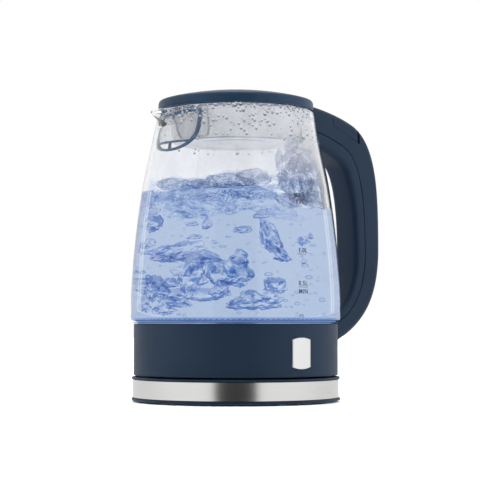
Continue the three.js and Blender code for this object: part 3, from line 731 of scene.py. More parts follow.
def badge_block(width, height, from_radius, to_radius):
    """Plate with arched ends, bent round the collar; divided across so that it bends smoothly."""
    w, h, arch = width / 2, height / 2, 1.6
    lower = [Vector((w * t, -h + arch - 2 * arch * (1 - t * t) / 2)) for t in [k / 8 - 1 for k in range(17)]]
    upper = [Vector((p.x, -p.y)) for p in reversed(lower)]
    outline = [Vector((p.x, p.y + BADGE_MIDDLE)) for p in lower + upper]
    size, points = len(outline), []
    for radius in (from_radius, to_radius):
        points += [(radius * math.sin(p.x / radius), -radius * math.cos(p.x / radius), p.y) for p in outline]
    faces = quads(0, size, size)
    for k in range(size // 2 - 1):
        a, b, c, d = k, k + 1, size - 2 - k, size - 1 - k
        faces.append([a, b, c, d][::-1])
        faces.append([size + a, size + b, size + c, size + d])
    return mesh_from("badge", points, faces)


def jug_collar():
    inner = COLLAR_RADIUS - COLLAR_WALL
    outline = rounded([
        (inner, COLLAR_LOW), (COLLAR_RADIUS, COLLAR_LOW, 0.7), (COLLAR_RADIUS, COLLAR_HIGH, 0.9),
        (inner, COLLAR_HIGH),
    ], 6)
    mesh = lathe("collar", outline, 192)
    for x, y in on_circle(3, COVER_SCREW_RING, 60):
        mesh = cut(added(mesh, upright(3.9, 24.9, 34, x, y)), upright(1.4, 20, 33, x, y))
    return cut(mesh, badge_block(BADGE_WIDTH + 0.6, BADGE_HEIGHT + 0.6, 79.9, 83),
               box_mesh("slot", (70, -9.8, 28.5), (90, 9.8, 39.4), 1.2))


def badge_plate():
    mesh = badge_block(BADGE_WIDTH, BADGE_HEIGHT, 80.2, 81.5)
    work = bmesh.new()
    work.from_mesh(mesh)
    edges = [
        edge for edge in work.edges
        if len(edge.link_faces) == 2 and edge.calc_face_angle(0) > 0.9
        and all(math.hypot(v.co.x, v.co.y) > 81 for v in edge.verts)
    ]
    bmesh.ops.bevel(work, geom=edges, offset=0.5, segments=3, profile=0.5, affect="EDGES")
    work.to_mesh(mesh)
    work.free()
    return mesh


def bottom_cover():
    outline = rounded([
        (17.6, COVER_LOW), (60, COVER_LOW), (60, 20, 0.4), (66, 20, 0.4), (66, COVER_LOW),
        (COLLAR_RADIUS - COLLAR_WALL - 0.4, COVER_LOW, 0.3), (COLLAR_RADIUS - COLLAR_WALL - 0.4, COVER_HIGH),
        (17.6, COVER_HIGH),
    ], 4)
    mesh = lathe("bottom_cover", outline)
    for x, y in on_circle(3, COVER_SCREW_RING, 60):
        mesh = added(mesh, upright(3.1, COVER_HIGH - 1, 24.6, x, y))
        mesh = cut(mesh, upright(2.7, 19, 23, x, y), upright(1.5, 19, 26, x, y))
    mesh = added(mesh, *(upright(2.5, COVER_HIGH - 1, 43.7, x, y) for x, y in on_circle(3, 63, 180)))
    for near, far in ((-8, -5), (5, 8)):
        cheek = box_mesh("cheek", (LEVER_X - 3.4, near, COVER_HIGH - 1), (LEVER_X + 3.4, far, 36.4), 0.4)
        mesh = added(mesh, cheek)
    return cut(mesh, across(LEVER_X, LEVER_Z, PIN_ROOM, 12))


def heating_plate():
    outline = rounded([
        (0, 59.8), (72.2, 59.8), (72.2, 50), (73.2, 50), (73.2, PLATE_TOP, 0.8), (64, PLATE_TOP, 1.5),
        (62.6, PLATE_TOP - 0.7, 0.8), (60.6, PLATE_TOP - 0.7, 0.8), (59.2, PLATE_TOP, 1.5), (0, PLATE_TOP),
    ], 5)
    return lathe("heating_plate", outline)


def ring_mesh(name, inner, outer, low, high, radius=0.4, sides=SIDES):
    corners = [(inner, low, radius), (outer, low, radius), (outer, high, radius), (inner, high, radius)]
    return lathe(name, rounded(corners, 4), sides)


finish_mesh("collar_moulding", jug_collar(), "jug", navy, ["jug_collar"])
finish_mesh("badge", badge_plate(), "jug", badge_white, ["badge_plate"])
finish_mesh("jug_underside", bottom_cover(), "jug", navy, ["jug_bottom_cover"])
finish_mesh("hot_plate", heating_plate(), "jug", plate_steel, ["heating_plate"])
finish_mesh("plate_seal_ring", ring_mesh("seal", 73.5, 74.3, 51, 60.9, 0.2), "jug", silicone,
            ["plate_seal"])

# ---------------- handle
OUTER_SIDE = [
    (60, 241.6), (80, 239.4), (104, 234), (119.4, 225.6), (143.5, 209.5), (145.3, 172), (145.3, 125),
    (145.3, 86), (131, 63), (100.9, 48.3), (94, 45), (86, 41.6), (74, 39.8),
]
INNER_SIDE = [
    (60, 210.5), (76, 207.5), (90, 201.5), (101, 194.5), (113, 186), (117.4, 150), (117.4, 119),
    (117.4, 90), (105, 72), (86, 67), (82, 66), (78, 65), (74, 64),
]
GRIP_ROUND, GRIP_HOLLOW = 6.5, 21
GRIP_SPLIT = 0.36  # share of the grip's depth, from its inner side, where its two halves meet
RELEASE_FRONT, RELEASE_BACK, RELEASE_FALL, RELEASE_TRAVEL = 92.0, 119.0, 0.459, 2.0
NECK_Z = 216.5  # height of the screws and the steam inlet in the grip's upper root


def even_run(corners, steps):
    """Points at even spacing along a run of cubic Bezier curves."""
    dense = []
    for k in range(0, len(corners) - 1, 3):
        a, b, c, d = (Vector(p) for p in corners[k : k + 4])
        dense += [cubic(a, b, c, d, i / 60) for i in range(60)]
    dense.append(Vector(corners[-1]))
    lengths = [0.0]
    for before, after in zip(dense, dense[1:]):
        lengths.append(lengths[-1] + (after - before).length)
    points, k = [], 0
    for i in range(steps + 1):
        goal = lengths[-1] * i / steps
        while k < len(dense) - 2 and lengths[k + 1] < goal:
            k += 1
        span = max(lengths[k + 1] - lengths[k], 1e-9)
        points.append(dense[k].lerp(dense[k + 1], min(max((goal - lengths[k]) / span, 0), 1)))
    return points


STRIPS = 110
outer_run, inner_run = even_run(OUTER_SIDE, STRIPS), even_run(INNER_SIDE, STRIPS)


def grip_section(inner, outer, width, rounding, first, last):
    """Closed loop across the grip; first and last say how much of its depth is kept (0 to 1)."""
    depth = (outer - inner).length
    along = (outer - inner) / depth
    low, high, half = first * depth, last * depth, width / 2
    near, far = rounding if first <= 0 else 0.6, rounding if last >= 1 else 0.6
    corners = [(low, -half, near), (high, -half, far), (high, half, far), (low, half, near)]
    loop = []
    for s, y in rounded(corners, 9 if rounding > 1 else 3):
        place = inner + along * s
        loop.append((place.x, y, place.y))
    return loop


def grip(width, rounding, first, last, start=0, end=STRIPS):
    """Run of the C-shaped grip, of a given width and share of its depth."""
    rows = range(start, end + 1)
    return loft("grip", [grip_section(inner_run[i], outer_run[i], width, rounding, first, last) for i in rows])


def outer_grip(start=0, end=STRIPS):
    return grip(GRIP_HALF * 2, GRIP_ROUND, GRIP_SPLIT, 1.0, start, end)


def jug_clearance():
    """Everything the grip stays clear of: collar, glass and lid, with a little room."""
    rim = glass_radius(RIM_Z)
    sides = [(glass_radius(z) + 1.3, z) for z in range(64, 230, 5)]
    outline = [
        (0, 30), (COLLAR_RADIUS + 0.3, 30), (COLLAR_RADIUS + 0.3, COLLAR_HIGH + 0.2), (83.4, COLLAR_HIGH + 0.4),
        *sides, (rim + 2.4, RIM_Z + 0.2), (rim + 2.4, 250), (0, 250),
    ]
    return lathe("clearance", outline)


def release_floor(x):
    return 225.4 - RELEASE_FALL * (x - RELEASE_FRONT)


def release_outline(room, travel):
    front, back = RELEASE_FRONT - room, RELEASE_BACK + room + travel
    low = [(front, release_floor(front) - room), (back, release_floor(back) - room)]
    return [(front, 250), *low, (back, 250)]


def grip_shell():
    """Outer half of the grip, with the hinge's slot, the latch's window and the pocket of the slide."""
    return cut(
        outer_grip(), jug_clearance(), grip(GRIP_HOLLOW, 0.5, 0.11, 0.89, 8, 104),
        box_mesh("slot", (55, -9, 230.8), (75.2, 9, 250), 0.5),
        box_mesh("window", (74, -4.4, 230.2), (RELEASE_FRONT, 4.4, 235.3)),
        across(HINGE_X, HINGE_Z, PIN_ROOM, 12.4),
        prism("pocket", release_outline(0.35, RELEASE_TRAVEL), -20, 20),
        lengthways(1.6, 60, 76, -8, NECK_Z), lengthways(1.6, 60, 76, 8, NECK_Z),
    )


def inner_cover():
    """Inner half of the grip, with a tongue that closes the seam from inside."""
    mesh = cut(grip(GRIP_HALF * 2, GRIP_ROUND, 0.0, GRIP_SPLIT - 0.015), jug_clearance())
    mesh = added(mesh, grip(GRIP_HOLLOW - 0.6, 0.5, 0.2, 0.42, 12, 100))
    return cut(mesh, grip(GRIP_HOLLOW - 1.6, 0.5, 0.11, 0.89, 8, 104), lengthways(4, 60, 84, 0, NECK_Z),
               lengthways(3.4, 76, 96, 0, 49.6))


def release_slide():
    """Thumb slide: a slice of the grip's top, with a tail under the shell and shallow ribs for the thumb."""
    mesh = common(outer_grip(10, 50), prism("slice", release_outline(0, 0), -20, 20))
    hollow = [(94.4, 200), (94.4, 233.6), (104, 231), (116.6, 224.2), (116.6, 200)]
    mesh = cut(mesh, prism("hollow", hollow, -GRIP_HOLLOW / 2, GRIP_HOLLOW / 2))
    room = box_mesh("tail", (RELEASE_BACK - 1.2, -12, 207), (RELEASE_BACK + 5.5, 12, 250))
    mesh = added(mesh, common(grip(GRIP_HOLLOW - 1.2, 0.5, 0.48, 0.84, 16, 34), room))
    for k in range(5):
        x = 99 + 3.4 * k
        top = min(outer_run, key=lambda p: abs(p.x - x) + (1000 if p.y < 150 else 0)).y
        mesh = cut(mesh, across(x, top + 0.9, 1.3, 8))
    return mesh


finish_mesh("grip_shell", grip_shell(), "jug", navy, ["handle_shell"])
finish_mesh("grip_inner_cover", inner_cover(), "jug", navy, ["handle_inner_cover"])
finish_mesh("release_slide", release_slide(), "lid_release", navy, ["lid_release"])

# ---------------- lid
LID_WALL, KNUCKLE_RADIUS, KNUCKLE_HALF = 2.2, 3.9, 8.6
LID_REACH, LID_CROWN = LID_RADIUS - 3, 238.9
DOME = (LID_REACH**2 + (LID_TOP - LID_CROWN) ** 2) / (2 * (LID_TOP - LID_CROWN))


def dome_point(radius, drop=0.0):
    return (radius, LID_TOP - drop - (DOME - math.sqrt(DOME**2 - radius**2)))


def lid_cap():
    crown = [dome_point(r) for r in range(0, 57, 4)]
    bend = [dome_point(57), (LID_REACH + 2.6, LID_CROWN - 0.9, 3), (LID_RADIUS, LID_LOW + 3)]
    inner = LID_RADIUS - LID_WALL
    brim = [(LID_RADIUS, LID_LOW + 2), (LID_RADIUS, LID_LOW, 0.5), (inner, LID_LOW, 0.3), (inner, LID_LOW + 5)]
    under = [dome_point(r, LID_WALL) for r in range(52, -1, -4)]
    mesh = lathe("lid", crown + rounded(bend, 8)[1:-1] + rounded(brim, 4) + under, 192)
    arm = box_mesh("arm", (60.3, -KNUCKLE_HALF, 232.2), (HINGE_X, KNUCKLE_HALF, 238.4), 0.6)
    mesh = added(mesh, arm, across(HINGE_X, HINGE_Z, KNUCKLE_RADIUS, KNUCKLE_HALF))
    return cut(mesh, box_mesh("room", (64.8, -3, 225), (80, 3, 245)), across(HINGE_X, HINGE_Z, PIN_ROOM, 20))


def lid_liner():
    """Deep-drawn steel pan under the lid, with a shallow bead pressed into its floor."""
    low = LINER_LOW
    outline = rounded([
        (0, low), (30, low, 2), (31.5, low + 0.5, 2), (34.5, low + 0.5, 2), (36, low, 2), (50, low, 2.2),
        (53.3, 225, 2), (53.9, 230, 0.3), (53.9, 230.7), (52.6, 230.7), (52.6, 225), (49.3, low + 0.8, 1.5),
        (36, low + 0.7),
        (34.5, low + 1.2), (31.5, low + 1.2), (30, low + 0.7), (0, low + 0.7),
    ], 5)
    return lathe("lid_liner", outline, 192)


def lid_seal():
    outline = rounded([
        (54.3, 227), (57.4, 226.4, 0.5), (58.2, 227.4, 0.5), (56.6, 228.6, 0.4), (57.2, 230.7, 0.3),
        (54.3, 230.7),
    ], 4)
    return lathe("lid_seal", outline)


finish_mesh("lid_cover", lid_cap(), "lid", navy_lid_painted_light, ["lid_cap"], sharp=40)
finish_mesh("lid_skirt", lid_liner(), "lid", liner_steel, ["lid_liner"])
finish_mesh("lid_seal_ring", lid_seal(), "lid", silicone, ["lid_seal"])
carrier = lathe("carrier", rounded([(0, 231), (59.4, 231, 0.4), (59.4, 233.2, 0.4), (0, 233.2)]))
finish_mesh("lid_carrier", carrier, "lid", navy_inside, ["lid_base"])

# ---------------- spout filter
FILTER_HALF, FILTER_LOW, FILTER_TOP, WINDOW_BEND = 26.0, 194.6, 226.0, 213
WIRE_PITCH, WIRE_HALF = 1.05, 0.08


def glass_skin(inner_gap, outer_gap, low, high):
    """Thin shell that follows the inside of the glass; gaps are measured from the glass outside."""
    heights = [low + (high - low) * i / 12 for i in range(13)]
    outside = [(glass_radius(z) - outer_gap, z) for z in heights]
    inside = [(glass_radius(z) - inner_gap, z) for z in reversed(heights)]
    return lathe("skin", outside + inside, 192)


def window_prism(inset):
    """Block with the outline of the filter's opening, a U with a straight top."""
    half, low, high = FILTER_HALF - inset, FILTER_LOW + inset, FILTER_TOP - inset
    curve = []
    for corners in ([(-half, WINDOW_BEND), (-half, low + 5), (-half * 0.6, low), (0, low)],
                    [(0, low), (half * 0.6, low), (half, low + 5), (half, WINDOW_BEND)]):
        a, b, c, d = (Vector(p) for p in corners)
        curve += [cubic(a, b, c, d, i / 16) for i in range(16)]
    outline = [(-half, high), *curve, (half, WINDOW_BEND), (half, high)]
    return loft("window", [[(x, p[0], p[1]) for p in outline] for x in (-85, -45)])


def filter_frame():
    mesh = cut(common(glass_skin(5.6, 3.6, 193, 229), window_prism(0)), window_prism(1.7))
    shelf = common(glass_skin(5.6, 3.6, 197, 207), box_mesh("bar", (-85, -17.2, 201), (-45, 17.2, 202.4)))
    rib = common(glass_skin(5.4, 3.8, 193, 210), box_mesh("rib", (-85, -0.7, 196), (-45, 0.7, 201.6)))
    return added(mesh, shelf, rib)


def on_inner_glass(y, z, gap):
    radius = glass_radius(z) - gap
    return Vector((-math.sqrt(max(radius**2 - y**2, 0)), y, z))


def window_half_width(z):
    """Half width of the filter's opening at a height."""
    half, low = FILTER_HALF - 3, FILTER_LOW + 3
    if z >= WINDOW_BEND:
        return half
    return half * math.sqrt(max(1 - ((WINDOW_BEND - z) / (WINDOW_BEND - low)) ** 2.3, 0))


def wire(points, thickness):
    """Thin four-sided wire along points."""
    rows = []
    for i, point in enumerate(points):
        ahead = (points[min(i + 1, len(points) - 1)] - points[max(i - 1, 0)]).normalized()
        side = ahead.cross(Vector((1, 0, 0.2))).normalized() * thickness
        lift = ahead.cross(side).normalized() * thickness
        rows.append([point + side, point + lift, point - side, point - lift])
    return loft("wire", rows)


def filter_mesh():
    wires = []
    top, low = FILTER_TOP - 2.8, 202.8
    for k in range(-21, 22):
        y = k * WIRE_PITCH
        bottom = next((low + i * 0.5 for i in range(60) if window_half_width(low + i * 0.5) > abs(y)), None)
        if bottom is not None and bottom < top:
            heights = [bottom + (top - bottom) * i / 6 for i in range(7)]
            wires.append(wire([on_inner_glass(y, z, 4.55) for z in heights], WIRE_HALF))
    for k in range(int((top - low) / WIRE_PITCH) + 1):
        z = low + k * WIRE_PITCH
        half = window_half_width(z)
        wires.append(wire([on_inner_glass(half * (i / 12 - 1), z, 4.75) for i in range(25)], WIRE_HALF))
    return join_meshes("filter_mesh", wires)


finish_mesh("filter_surround", filter_frame(), "jug", navy_inside, ["filter_frame"])
finish_mesh("filter_wires", filter_mesh(), "jug", liner_steel, ["filter_mesh"])

# ---------------- switch lever and small parts
def switch_lever():
    outline = rounded([
        (33, 31), (60, 31, 2), (64, 29.3, 3), (68, 29.3, 3), (72, 31, 2), (80, 30.6, 3), (90, 28.8, 0.6),
        (90.6, 31.6, 1), (83, 34.4, 3), (72, 34, 2), (68, 35.8, 2), (64, 35.8, 3), (60, 34, 2), (33, 33.6),
    ], 4)
    arm = common(prism("arm", outline, -4.5, 4.5), box_mesh("keep", (30, -6, 20), (82, 6, 40)))
    paddle = common(prism("paddle", outline, -9, 9), box_mesh("keep", (73, -12, 20), (95, 12, 40)))
    return cut(added(arm, paddle), across(LEVER_X, LEVER_Z, PIN_ROOM, 12))


finish_mesh("switch_paddle", switch_lever(), "switch_lever", navy, ["switch_lever"])


def screw_head(x, y, low, radius, height):
    head = lathe("head", rounded([(0, low), (radius, low, 0.4), (radius, low + height), (0, low + height)]), 32)
    for angle in (0, 90):
        blade = box_mesh("blade", (-radius * 0.7, -0.35, low - 1), (radius * 0.7, 0.35, low + 0.7))
        head = cut(head, placed(blade, (0, 0, 0), math.radians(angle + 20)))
    return placed(head, (x, y, 0))


def screws(count, ring, start, label, low, radius, height, body, shank):
    for index, (x, y) in enumerate(on_circle(count, ring, start), 1):
        core = upright(shank[0], low + height - 0.3, shank[1], x, y, 20)
        mesh = added(screw_head(x, y, low, radius, height), core)
        finish_mesh(f"{label}_head_{index}", mesh, body, fastener_steel,
                    [f"{label}_{index}"])


screws(3, SCREW_RING, 30, "base_screw", 1.7, 2.6, 1.4, "power_base", (1.1, 13.0))
screws(3, COVER_SCREW_RING, 60, "cover_screw", 21.4, 2.3, 1.3, "jug", (1.1, 31.0))

# ---------------- level marks
ink, ink_tree, ink_bsdf = shader("mark_ink", (0.020, 0.024, 0.032), 0.45)
vary(ink_tree, ink_bsdf, "Roughness", noise_field(ink_tree, 300, 3), 0.35, 0.6)


def lettering(text, z, offset=0.0, size=4.9):
    """Flat letters standing on -Y, bent to the outside of the glass."""
    curve = bpy.data.curves.new("letters", "FONT")
    curve.body, curve.size, curve.extrude, curve.align_x = text, size, 0.05, "CENTER"
    curve.resolution_u = 3
    curve.offset = 0.075
    curve.space_character = 1.12
    item = bpy.data.objects.new("letters", curve)
    bpy.context.scene.collection.objects.link(item)
    mesh = bpy.data.meshes.new_from_object(item.evaluated_get(bpy.context.evaluated_depsgraph_get()))
    bpy.data.objects.remove(item)
    bpy.data.curves.remove(curve)
    for vertex in mesh.vertices:
        x, height, depth = vertex.co
        vertex.co = on_outer_glass(0.95 * x + offset, z + height, depth)
    mesh.materials.clear()
    return mesh


def on_outer_glass(x, z, depth):
    radius = glass_radius(z) + 0.06 + depth
    angle = x / radius
    return Vector((radius * math.sin(angle), -radius * math.cos(angle), z))


def mark_line(z, half=4.6, thickness=0.35):
    """Printed bar that follows the glass."""
    edge = [(-thickness / 2, -0.04), (thickness / 2, -0.04), (thickness / 2, 0.05), (-thickness / 2, 0.05)]
    loops = [[on_outer_glass(half * (i / 4 - 1), z + up, out) for up, out in edge] for i in range(9)]
    return loft("mark_line", loops)


marks = [
    lettering("MAX", 157.6, 2.2), lettering("1.7L", 152.6, 2.2), lettering("1.0L", 115.4, 1.2),
    mark_line(114.1), lettering("0.5L", 90.4), mark_line(89.2), lettering("MIN", 84.2),
]
finish_mesh("level_marks", join_meshes("level_marks", marks), "jug", ink)

# ---------------- boiling water
RIGHTWARD = Vector((math.cos(turn), math.sin(turn), 0))
WATER_GAP, WATER_FOOT_RADIUS = 0.5, 74.9
BOIL_TOP, CALM_TOP = 165.5, 150.0
GLOW_LOW, GLOW_TOP, GLOW_DEPTH = 62.9, 66.3, 1.2
WATER_LOW = PLATE_TOP + 0.4
FOOT_TOP = 63.5  # below this the wall of the glass is lit by the ring


def front_place(across_mm, near_mm, z):
    """Point in the jug from its distance to the right, towards the viewer, and above the table."""
    place = RIGHTWARD * across_mm + toward_camera * near_mm
    return Vector((place.x, place.y, z))


def water_radius(z):
    """The water fills the glass, less the lit band in front of it near the bottom."""
    if z < GLOW_LOW - 1:
        return WATER_FOOT_RADIUS
    return glass_radius(max(z, 64)) - GLASS_WALL - WATER_GAP - (GLOW_DEPTH if z < GLOW_TOP + 0.2 else 0)


def behind_wall(right, z, inset):
    """How far towards the viewer the wall is at a place, less an inset."""
    return math.sqrt(max((water_radius(z) - inset) ** 2 - right**2, 0))


def ripple(x, y, scale, seed, octaves=4):
    """Smooth noise between about -1 and 1."""
    return noise.fractal(Vector((x / scale, y / scale, seed)), 0.75, 2.1, octaves)


def surface_height(x, y):
    """Heaped up and rough where the boil breaks, nearly level on the side with the level marks."""
    calm = smoothstep(Vector((x, y, 0)).dot(RIGHTWARD), 18, 50)
    return BOIL_TOP - (BOIL_TOP - CALM_TOP) * calm + (5.5 - 4.5 * calm) * ripple(x, y, 34, 3.7)


def water_body():
    """Pool with an uneven top; faces that look up take the second material."""
    sides, rows, rings = 160, 30, 28
    points, faces = [], []

    def ring(make):
        start = len(points)
        for i in range(sides):
            points.append(make(2 * math.pi * i / sides))
        return start

    def wall_point(angle, share):
        reach = water_radius(CALM_TOP)
        top = surface_height(reach * math.cos(angle), reach * math.sin(angle))
        z = WATER_LOW + (top - WATER_LOW) * share
        if 0 < share <= 2 / rows:
            z = GLOW_TOP + 0.1 if share < 1.5 / rows else GLOW_TOP + 0.4
        return (water_radius(z) * math.cos(angle), water_radius(z) * math.sin(angle), z)

    def top_point(angle, share):
        edge = wall_point(angle, 1)
        reach = math.hypot(edge[0], edge[1]) * share
        x, y = reach * math.cos(angle), reach * math.sin(angle)
        blend = smoothstep(share, 0.75, 1.0)
        return (x, y, surface_height(x, y) * (1 - blend) + edge[2] * blend)

    starts = [ring(lambda a, s=k / rows: wall_point(a, s)) for k in range(rows + 1)]
    starts += [ring(lambda a, s=1 - k / rings: top_point(a, s)) for k in range(1, rings)]
    for low, high in zip(starts, starts[1:]):
        faces += quads(low, high, sides)
    for start, centre in ((starts[0], (0, 0, WATER_LOW)), (starts[-1], (0, 0, surface_height(0, 0)))):
        points.append(centre)
        for i in range(sides):
            faces.append([start + i, start + (i + 1) % sides, len(points) - 1])
    mesh = mesh_from("water", points, faces)
    for face in mesh.polygons:
        if face.normal.z > 0.5:
            face.material_index = 1
    return mesh


def churned_sheet(z, swell, scale, seed):
    """One rolling sheet of the boil: a thin wavy disc that fills the jug."""
    sides, rings = 128, 44
    points, faces = [], []
    for side in (1, -1):
        base = len(points)
        for k in range(rings + 1):
            for i in range(sides):
                angle = 2 * math.pi * i / sides
                reach = water_radius(z) * (1 - k / (rings + 0.5))
                x, y = reach * math.cos(angle), reach * math.sin(angle)
                fold = 0.35 * swell * ripple(x, y, scale * 0.3, seed + 9, 3)
                lift = swell * ripple(x, y, scale, seed, 5) + fold
                height = z + lift + side * (0.9 + 0.6 * ripple(x, y, 9, seed + 4, 2))
                fill = (water_radius(height + 2) - 0.7) / water_radius(z)
                points.append((x * fill, y * fill, height))
        for k in range(rings):
            faces += quads(base + k * sides, base + (k + 1) * sides, sides)
        faces.append([base + rings * sides + i for i in range(sides)])
    return mesh_from("sheet", points, faces + quads(0, (rings + 1) * sides, sides))


def blob(centre, size, seed, rough=0.16, flatten=0.0, levels=4, lean=0.0):
    """Lumpy closed form; flatten presses its underside into a ragged, shallow cup."""
    work = bmesh.new()
    bmesh.ops.create_icosphere(work, subdivisions=levels, radius=1)
    for vertex in work.verts:
        point = vertex.co.copy()
        swell = 1 + rough * noise.fractal(point * 1.4 + Vector((seed, seed * 0.7, 0)), 0.9, 2.0, 4)
        point *= swell
        if point.z < 0:
            ragged = 0.35 * noise.noise(Vector((point.x * 3.2 + seed, point.y * 3.2, seed)))
            point.z *= 1 - flatten * (1 + ragged)
            point.z += flatten * 0.22 * noise.noise(Vector((point.x * 5 + seed, point.y * 5, 2.0)))
        point.x += lean * point.z
        vertex.co = Vector((point.x * size[0], point.y * size[1], point.z * size[2])) + centre
    mesh = bpy.data.meshes.new("blob")
    work.to_mesh(mesh)
    work.free()
    return mesh


def water_pieces(name, meshes, material):
    """One clear piece from many blobs; whatever would poke through the glass is pressed back inside it."""
    mesh = join_meshes(name, meshes)
    for vertex in mesh.vertices:
        reach = math.hypot(vertex.co.x, vertex.co.y)
        limit = water_radius(vertex.co.z) - 0.8
        if reach > limit:
            vertex.co.x *= limit / reach
            vertex.co.y *= limit / reach
    return finish_mesh(name, mesh, "jug", material, sharp=80)


def fade(tree, source, start, end):
    return ramp(tree, source, [(start, grey(0)), (end, grey(1))])


def spots(tree, scale, low, high, detail=4, distortion=0.0):
    """0..1 mask from noise, soft between two levels."""
    return fade(tree, noise_field(tree, scale, detail, distortion=distortion), low, high)


def contour_lines(tree, scale, turns, width, distortion=0.6):
    """Thin wandering lines where noise crosses regular levels."""
    field = noise_field(tree, scale, 3, distortion=distortion)
    wave = calculate(tree, "ABSOLUTE", calculate(tree, "SINE", calculate(tree, "MULTIPLY", field, turns)))
    return ramp(tree, wave, [(0.0, grey(1)), (width, grey(0))])


def edge_weight(tree):
    """0 where a surface faces the ray, 1 where it is seen edge-on."""
    return node(tree, "ShaderNodeLayerWeight", Blend=0.5).outputs["Facing"]


def facing_edge(tree, start, end):
    return fade(tree, edge_weight(tree), start, end)


def along_axis(tree, kind, axis):
    place = node(tree, "ShaderNodeTexCoord").outputs[kind]
    return node(tree, "ShaderNodeSeparateXYZ", Vector=place).outputs[axis]


def underside(tree, start, end):
    """1 where the surface faces down, 0 where it faces up."""
    half = calculate(tree, "MULTIPLY_ADD", along_axis(tree, "Normal", "Z"), -0.5, 0.5)
    return fade(tree, half, start, end)


def rise(tree, low, high, axis="Z"):
    """0 at one place along an axis and 1 at another, in millimetres."""
    place = along_axis(tree, "Object", axis)
    span = node(tree, "ShaderNodeMapRange", Value=place, From_Min=low * MM, From_Max=high * MM)
    return span.outputs["Result"]


def scaled(tree, source, amount):
    return calculate(tree, "MULTIPLY", source, amount)


def strongest(tree, *sources):
    best = sources[0]
    for source in sources[1:]:
        best = calculate(tree, "MAXIMUM", best, source)
    return best


def layers(*masks):
    """The strongest of several masks, each given as a strength, a function and that function's values."""
    def build(tree):
        return strongest(tree, *(scaled(tree, mask(tree, *values), amount) for amount, mask, *values in masks))

    return build


# Painted light and shade: a deeper blue towards the bottom stands in for the ring's light below, and a deeper
# blue rim just inside the edge of the filled glass stands in for the wall's refraction; the patches are random.
def body_cover(tree):
    depth = scaled(tree, calculate(tree, "SUBTRACT", 1.0, rise(tree, 60, 150)), 0.05)
    patches = scaled(tree, spots(tree, 26, 0.42, 0.72, 4, 0.5), 0.30)
    inner = calculate(tree, "ADD", depth, patches, clamp=True)
    return strongest(tree, inner, scaled(tree, facing_edge(tree, 0.305, 0.335), 0.9))


def body_glint(tree):
    """Painted highlights: bright upright lines just inside the edge of the filled glass."""
    line = ramp(tree, edge_weight(tree), [
        (0.268, grey(0)), (0.276, grey(1)), (0.284, grey(0.1)), (0.292, grey(0.8)), (0.300, grey(0)),
    ])
    return scaled(tree, line, 0.45)


# Painted shade in these masks: the facing_edge shares darken sheets, splashes and rolls where seen edge-on,
# standing in for reflection at grazing angles. The glints are painted light: pale emission for highlights and,
# on sheets and rolls, for white foam.
sheet_cover = layers((0.45, spots, 38, 0.40, 0.62, 4, 0.9), (0.85, contour_lines, 48, 22, 0.20, 1.2),
                     (0.6, facing_edge, 0.86, 0.99))
splash_cover = layers((0.42, spots, 70, 0.49, 0.54, 6, 1.6), (0.95, facing_edge, 0.76, 0.93),
                      (0.8, contour_lines, 48, 26, 0.12, 1.8))
rolled_cover = layers((0.95, contour_lines, 60, 22, 0.13, 1.6), (0.7, spots, 95, 0.50, 0.57, 6, 1.2),
                      (0.6, facing_edge, 0.72, 0.95))
sheet_glint = layers((0.30, contour_lines, 36, 15, 0.16, 1.4))
splash_glint = layers((0.6, contour_lines, 70, 17, 0.16, 1.6))
rolled_glint = layers((0.65, contour_lines, 52, 13, 0.20, 1.6))
foot_glint = layers((0.35, spots, 40, 0.1, 0.4))
wet_cover = layers((0.5, spots, 30, 0.4, 0.7))
mist_streaks = layers((1.0, spots, 45, 0.35, 0.75, 4, 0.4))
# Painted shade: condensation droplets darker on their undersides and at their edges.
droplet_cover = layers((1.0, underside, 0.50, 0.66), (0.6, facing_edge, 0.5, 0.8))


# Painted shade: the bubbles are dark blue on their undersides, standing in for the dark collar and plate seen
# in them, and darker at their edge-on rims; with wandering lines.
def bubble_cover(tree):
    below = calculate(tree, "MULTIPLY", underside(tree, 0.48, 0.62), spots(tree, 130, 0.36, 0.54, 6, 1.0))
    rim = scaled(tree, facing_edge(tree, 0.72, 0.97), 0.55)
    return strongest(tree, below, rim, scaled(tree, contour_lines(tree, 70, 15, 0.16), 0.35))


# Painted highlight: pale light on the tops of the bubbles, in patches.
def bubble_glint(tree):
    above = calculate(tree, "SUBTRACT", 1.0, underside(tree, 0.30, 0.50))
    return scaled(tree, calculate(tree, "MULTIPLY", above, spots(tree, 45, 0.30, 0.65)), 0.4)


# Painted shade: small bubbles darker at their lower, edge-on rims.
def small_bubble_cover(tree):
    return calculate(tree, "MULTIPLY", facing_edge(tree, 0.30, 0.75), underside(tree, 0.30, 0.60))


def touch_water_with_glass(piece):
    """Where water meets the inside of the wall there is no air surface, so those faces turn clear.

    The foot of the wall carries the ring's blue light.
    """
    slots = piece.data.materials
    slots.append(see_through("wetted_glass", (0.995, 0.997, 1.0), (0.98, 0.985, 1.0), wet_cover))
    slots.append(see_through("lit_foot", (0.66, 0.76, 0.90), (0.50, 0.62, 0.82), wet_cover, foot_glint,
                             (0.10, 0.18, 0.36)))
    for face in piece.data.polygons:
        x, y, z = face.center / MM
        if z < FOOT_TOP:
            face.material_index = 2
        elif z < surface_height(x, y) + 1 and math.hypot(x, y) < glass_radius(z) - GLASS_WALL / 2:
            face.material_index = 1


touch_water_with_glass(jug_glass)
